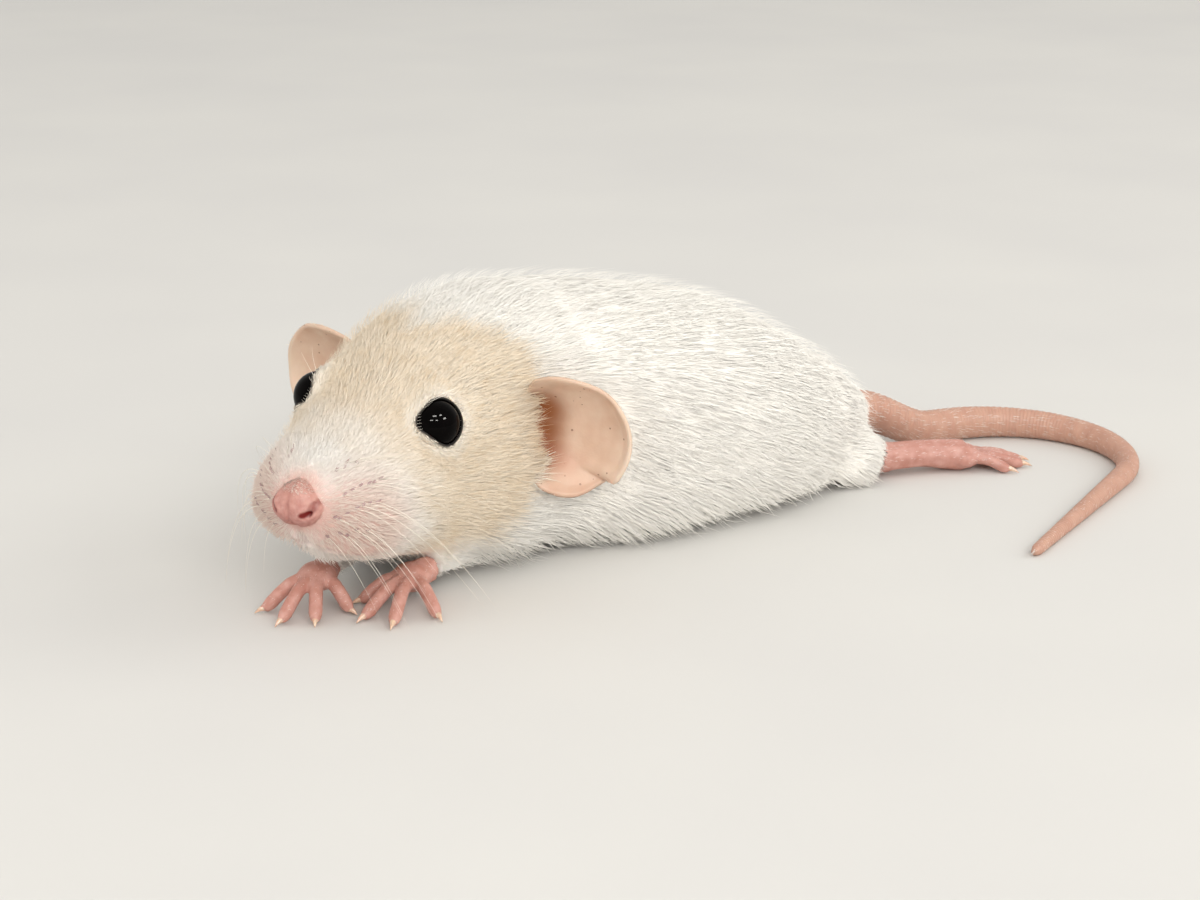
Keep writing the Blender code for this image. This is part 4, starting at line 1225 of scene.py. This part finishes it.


# %% [markdown]
# ## Colour of the fur
# Soft fur is dull, because light is lost between the hairs, so its material is rough with a weak
# shine. Each tuft reads the numbers painted on it: whether it stands in the cream hood, a random one
# that sets it apart from its neighbours, how far up the tuft a point is, where the thin coat of the
# muzzle tints it, and where painted grey shade darkens it at the edge of the lids, most behind the
# eye. A hair of the hood is paler at its root.

# %% Fur material
fur_look, tree, shader = new_material("short_soft_fur", Roughness=0.62, IOR=1.5)
shader.inputs["Specular IOR Level"].default_value = 0.25
strand, up_hair = (
    add_node(tree, "Attribute", attribute_name=name).outputs["Fac"] for name in ("strand", "up_hair")
)
tanned = add_node(tree, "MapRange", {"Value": strand, "From Min": 0.3, "From Max": 0.95}).outputs["Result"]
cream = add_node(tree, "Mix", {0: tanned, 6: CREAM_HAIR, 7: TAN_HAIR}, data_type="RGBA").outputs[2]
cream = clouds(tree, 3.5, cream, CREAM_HAIR, low=0.35, detail=2.0)
above_root = add_node(tree, "MapRange", {"Value": up_hair, "From Max": 0.75}).outputs["Result"]
cream = add_node(tree, "Mix", {0: above_root, 6: srgb("#faf0e0"), 7: cream}, data_type="RGBA").outputs[2]
white = add_node(tree, "Mix", {0: strand, 6: WHITE_HAIR, 7: srgb("#fdf9f1")}, data_type="RGBA").outputs[2]
# The grey by the eyes is painted shade at the lids' edge.
fur = layered(tree, white, [("hood", cream), ("thin", srgb("#ecd7cb")), ("painted_eye_shade", srgb("#958883"))])
tree.links.new(fur, shader.inputs["Base Color"])

# %% [markdown]
# ## Growing the fur
# At each root the coat's lie, length, lift and width are read from the skin and varied: in soft waves,
# which give the coat its locks, and at random from tuft to tuft. Some tufts are guard hairs, which are
# longer, thinner and stand up more. The random numbers start from a fixed seed. The Boolean unions may
# still list some faces in another order at the next run, which moves about one tuft in fifty, round the
# lids and on and beside the joined ears, paws, feet and tail.

# %% Grow the fur
FUR_SEED, LEAST_LIFT = 20, 0.08
draw = np.random.default_rng(FUR_SEED)
chosen, shares = sow(density, draw)
root, root_normal = at_roots(points, chosen, shares), unit(at_roots(normals, chosen, shares))
root_lie = at_roots(lie, chosen, shares)
root_s, root_left, root_height = along_body(root)
count = len(root)
turn = np.radians(5) * waves(root, 3.2, 5) + np.radians(3.5) * waves(root, 1.3, 6)
turn += np.radians(6) * draw.normal(size=count)
sideways = np.cross(root_normal, root_lie)
root_lie = root_lie * np.cos(turn)[:, None] + sideways * np.sin(turn)[:, None]
root_lie = unit(root_lie - root_normal * (root_lie * root_normal).sum(-1, keepdims=True))
on_head = 1 - smooth(34, 50, root_s)
guard = draw.random(count) < 0.04 + 0.07 * on_head
root_length = at_roots(length, chosen, shares) * draw.uniform(0.78, 1.15, count) * np.where(guard, 1.25, 1)
uneven = 1 + (0.05 + 0.07 * on_head) * waves(root, 2.6, 7)
uneven += (0.06 + 0.08 * on_head) * draw.normal(size=count)
root_lift = (at_roots(lift, chosen, shares) * uneven).clip(LEAST_LIFT)
root_lift += np.where(guard, np.radians(10 + 8 * on_head), 0)
root_width = at_roots(width, chosen, shares) * draw.uniform(0.75, 1.2, count) * np.where(guard, 0.5, 1)
# Painted shade: the fur at the lids' edge is greyed, most behind the eye.
painted_eye_shade = 0.5 * (1 - smooth(0, 1.1, lid_gap(root)))
looks = {
    "hood": hood_at(root, root_s, root_left, root_height),
    "thin": at_roots(thin_coat, chosen, shares),
    "painted_eye_shade": painted_eye_shade * (0.25 + 0.75 * smooth(-2, 2, root_s - EYE_AT[0])),
    "strand": (0.5 + 0.22 * waves(root, 1.1, 8) + 0.2 * draw.normal(size=count)).clip(0, 1),
}
print("tufts in all:", count)

# %% [markdown]
# ## Pieces of the coat
# The coat is cut by stretch of the body and by side, which keeps each piece light enough to handle.
# On the map, a stretch is laid out by distance along the body and angle round it, the down of ears,
# paws and feet as seen from above, with the underside beside it, and the tail by its length.

# %% Make the coat
grown = (root, root_normal, root_lie, root_length, root_lift, root_width)


def coat_piece(name, some, unwrap):
    """The tufts of some of the roots, as one piece."""
    some_looks = {key: values[some] for key, values in looks.items()}
    blades(name, [values[some] for values in grown], some_looks, unwrap, fur_look)


BODY_AXIS_HEIGHT = 14
STRETCHES = (  # from and to, along the body
    ("muzzle", 0, 13), ("face", 13, 24), ("crown", 24, 36), ("nape", 36, 52), ("shoulders", 52, 72),
    ("ribs", 72, 92), ("rump", 92, 200),
)
angle = np.abs(np.arctan2(root_left, root_height - BODY_AXIS_HEIGHT))
on_down = at_roots(down, chosen, shares) > 0.5
for name, start, end in STRETCHES:
    for side, sign in SIDES:
        inside = (root_s >= start) & (root_s < end) if start else root_s < end
        inside &= ((root_left >= 0) == (sign > 0)) & ~on_down
        unwrap = on_map(from_least(root_s[inside]), angle[inside] / math.pi)
        coat_piece(f"coat_{name}_{side}", inside, unwrap)

for part in ("ear", "paw", "foot"):
    for side, sign in SIDES:
        inside = on_down & (at_roots(region[part], chosen, shares) > 0.5)
        inside &= (root_left >= 0) == (sign > 0)
        unwrap = 0.01 + 0.48 * from_least(root[inside, :2])
        unwrap += 0.5 * (root_normal[inside, 2:] < 0)
        coat_piece(f"down_{part}_{side}", inside, unwrap.clip(0, 1))

inside = on_down & (at_roots(region["tail"], chosen, shares) > 0.5)
down_tail_t = at_roots(tail_t, chosen, shares)[inside]
unwrap = on_map(down_tail_t / TAIL_LENGTH, (root_normal[inside, 2] + 1) / 2)
coat_piece("down_tail", inside, unwrap.clip(0, 1))

# %% [markdown]
# ## Whiskers
# Whiskers grow in rows from the pads beside the nose, each out of a dark follicle, and the longest
# grow from the back of the pad. Each is a tapering tube along a curve that starts outwards, sweeps
# back and droops, down to the floor where it reaches it. A whisker is one stiff, smooth hair, so it
# shines a little more than the coat.

# %% Whiskers
whisker_look, tree, shader = new_material("whisker_hair", Roughness=0.4, IOR=1.5)
pale_hair = clouds(tree, 6.0, srgb("#f6ecdc"), srgb("#fffaf0"))
tree.links.new(pale_hair, shader.inputs["Base Color"])
WHISKER_ROWS = (  # first and last follicle as s, left and height, how many, and how far the row points up
    ((4.5, 3.6, 22.4), (6.8, 4.6, 23.3), 4, 0.30),
    ((3.2, 5.7, 19.9), (7.8, 8.1, 21.4), 6, 0.12),
    ((1.8, 4.6, 17.0), (5.8, 9.0, 18.8), 7, -0.18),
    ((2.0, 3.8, 14.2), (4.4, 8.0, 15.6), 5, -0.45),
)
WHISKER_SEED = 31
draw = np.random.default_rng(WHISKER_SEED)


def nearest_skin(place_at):
    """The skin point nearest to a place, and the skin's normal there."""
    k = ((points - np.array(place_at)) ** 2).sum(-1).argmin()
    return Vector(points[k]), Vector(normals[k])


def hair_tube(start, first, bend, long, thick, steps=12):
    """One tapering hair that starts along first and is drawn towards bend."""
    while (start + (first + bend) * long).z < 0.5:
        long *= 0.95
    knots, radii = [], []
    for k in range(steps + 1):
        t = k / steps
        knot = start + (first * t + bend * t * t) * long
        knots.append(knot)
        radii.append(thick * (1 - 0.85 * t))
    return tube("hair", knots, radii, 5)


follicles = []


def whiskers(sign):
    """The whiskers of one side, row by row. Those further back are longer."""
    hairs = []
    for first, last, many, rise in WHISKER_ROWS:
        for k in range(many):
            share = k / (many - 1)
            at = [a + (b - a) * share + draw.normal() * 0.14 for a, b in zip(first, last)]
            start, normal = nearest_skin(spot(at[0], sign * at[1], at[2]))
            follicles.append((start, normal))
            fan = draw.normal(size=3) * 0.07
            out = way(at[0], 0.45 + fan[0], sign * (0.62 + fan[1]), rise * 0.6 + fan[2])
            out = (out + normal * 0.35).normalized()
            bend = way(at[0], 0.4, -sign * 0.05, -0.55 + rise)
            long = (10 + 12 * share) * draw.uniform(0.85, 1.15) * (1.1 if rise < 0.2 else 0.8)
            thick = 0.039 if rise < 0 else 0.032
            hairs.append(hair_tube(start + normal * 0.1, out * 0.6, bend * 0.75, long, thick))
    return hairs


# %% [markdown]
# ## Hairs of brow, cheek and eye
# Two single hairs stand over each eye and one on the cheek. Fine pale hairs also cross each eye's front
# corner. They start at the rim of the lids, and each bulges outward, so that it stays off the eyeball.

# %% Brow hairs and lashes
SINGLE_HAIRS = (  # root as s, left and height, and how far the hair leans back
    ((17.2, 8.4, 30.2), 0.5), ((18.6, 9.0, 30.0), 0.75), ((27.0, 14.6, 15.5), 0.9),
)
SINGLE_LENGTH, SINGLE_THICKNESS, LASH_THICKNESS, LASH_TIP_OFF = 5.5, 0.028, 0.034, 0.3
# Turn round the gaze and angle from it, in degrees, for the root and then for the tip of each lash.
LASHES = [(22 + 6 * k, 84, 20 + 7 * k, 60) for k in range(6)]
LASHES += [(42, 82, 86, 52), (48, 80, 96, 51)]


def single_hairs(sign):
    """The long hairs over the eye and on the cheek."""
    hairs = []
    for at, lean in SINGLE_HAIRS:
        start, normal = nearest_skin(spot(at[0], sign * at[1], at[2]))
        out = (normal * 0.7 + way(at[0], lean, sign * 0.5, 0.1)).normalized()
        bend = way(at[0], 0.3, 0, -0.3) * 0.4
        hairs.append(hair_tube(start, out, bend, SINGLE_LENGTH, SINGLE_THICKNESS))
    return hairs


def beside_eye(side, sign, turn, angle_off, far):
    """A place at some distance from an eye's middle, at a turn round the gaze and an angle off it."""
    gaze, forward, upward = eye_axes(sign)
    turn, angle_off = math.radians(turn), math.radians(angle_off)
    across = forward * math.cos(turn) + upward * math.sin(turn)
    return EYES[side] + (gaze * math.cos(angle_off) + across * math.sin(angle_off)) * far


def lashes(side, sign):
    """The fine hairs over the front corner of an eye."""
    hairs = []
    for turn, angle_off, tip_turn, tip_angle in LASHES:
        start = beside_eye(side, sign, turn, angle_off, EYE_RADIUS + LID_THICKNESS)
        chord = beside_eye(side, sign, tip_turn, tip_angle, EYE_RADIUS + LASH_TIP_OFF) - start
        bulge = (start + chord * 0.5 - EYES[side]).normalized() * chord.length * 0.4
        hairs.append(hair_tube(start, chord + bulge, -bulge, 1.0, LASH_THICKNESS, 8))
    return hairs


for side, sign in SIDES:
    hairs = whiskers(sign) + single_hairs(sign) + lashes(side, sign)
    dress(joined("whiskers_" + side, hairs), whisker_look)

# %% [markdown]
# ## Dark marks at the roots of the whiskers
# Each whisker grows from a pit that shows as a short dark dash. Two dull tufts that lie almost flat
# make it, just above the skin.

# %% Follicles
DASHES_EACH, DASH_LIFT, DASH_WIDTH, DASH_HEIGHT = 2, math.radians(9), 0.3, 0.22
dark_look, tree, shader = new_material("whisker_follicle", Roughness=0.7)
mauve = clouds(tree, 0.4, srgb("#a17d7b"), srgb("#b39390"))
tree.links.new(mauve, shader.inputs["Base Color"])
dash_root = np.repeat(np.array([list(at) for at, _ in follicles]), DASHES_EACH, axis=0)
dash_normal = unit(np.repeat(np.array([list(normal) for _, normal in follicles]), DASHES_EACH, axis=0))
dash_root = dash_root + dash_normal * DASH_HEIGHT + draw.normal(size=dash_root.shape) * 0.05
dash_s, dash_left, _ = along_body(dash_root)
dash_lie = axes_at(dash_s)[0] + 0.3 * axes_at(dash_s)[2] + draw.normal(size=dash_root.shape) * 0.1
dash_lie = unit(dash_lie - dash_normal * (dash_lie * dash_normal).sum(-1, keepdims=True))
many = len(dash_root)
dash_length = draw.uniform(0.55, 0.85, many)
dash_lift, dash_width = np.full(many, DASH_LIFT), np.full(many, DASH_WIDTH)
dashes = (dash_root, dash_normal, dash_lie, dash_length, dash_lift, dash_width)
unwrap = on_map(from_least(dash_s), (dash_left + 12) / 24)
blades("whisker_follicles", dashes, {"strand": np.zeros(many)}, unwrap, dark_look)

# %% [markdown]
# ## Studio floor
# A plain pale floor, wide enough to fill the view, is stage and not part of the animal.

# %% Floor
FLOOR_HALF_WIDTH = 4.0  # metres
floor_look, tree, shader = new_material("pale_matt_floor", Roughness=0.85)
pale = clouds(tree, 60, srgb("#d2d1cf"), srgb("#d6d5d2"), detail=2.0)
tree.links.new(pale, shader.inputs["Base Color"])
bm = bmesh.new()
bmesh.ops.create_grid(bm, x_segments=1, y_segments=1, size=FLOOR_HALF_WIDTH)
floor = piece_from("studio_floor", bm)
floor.data.materials.append(floor_look)
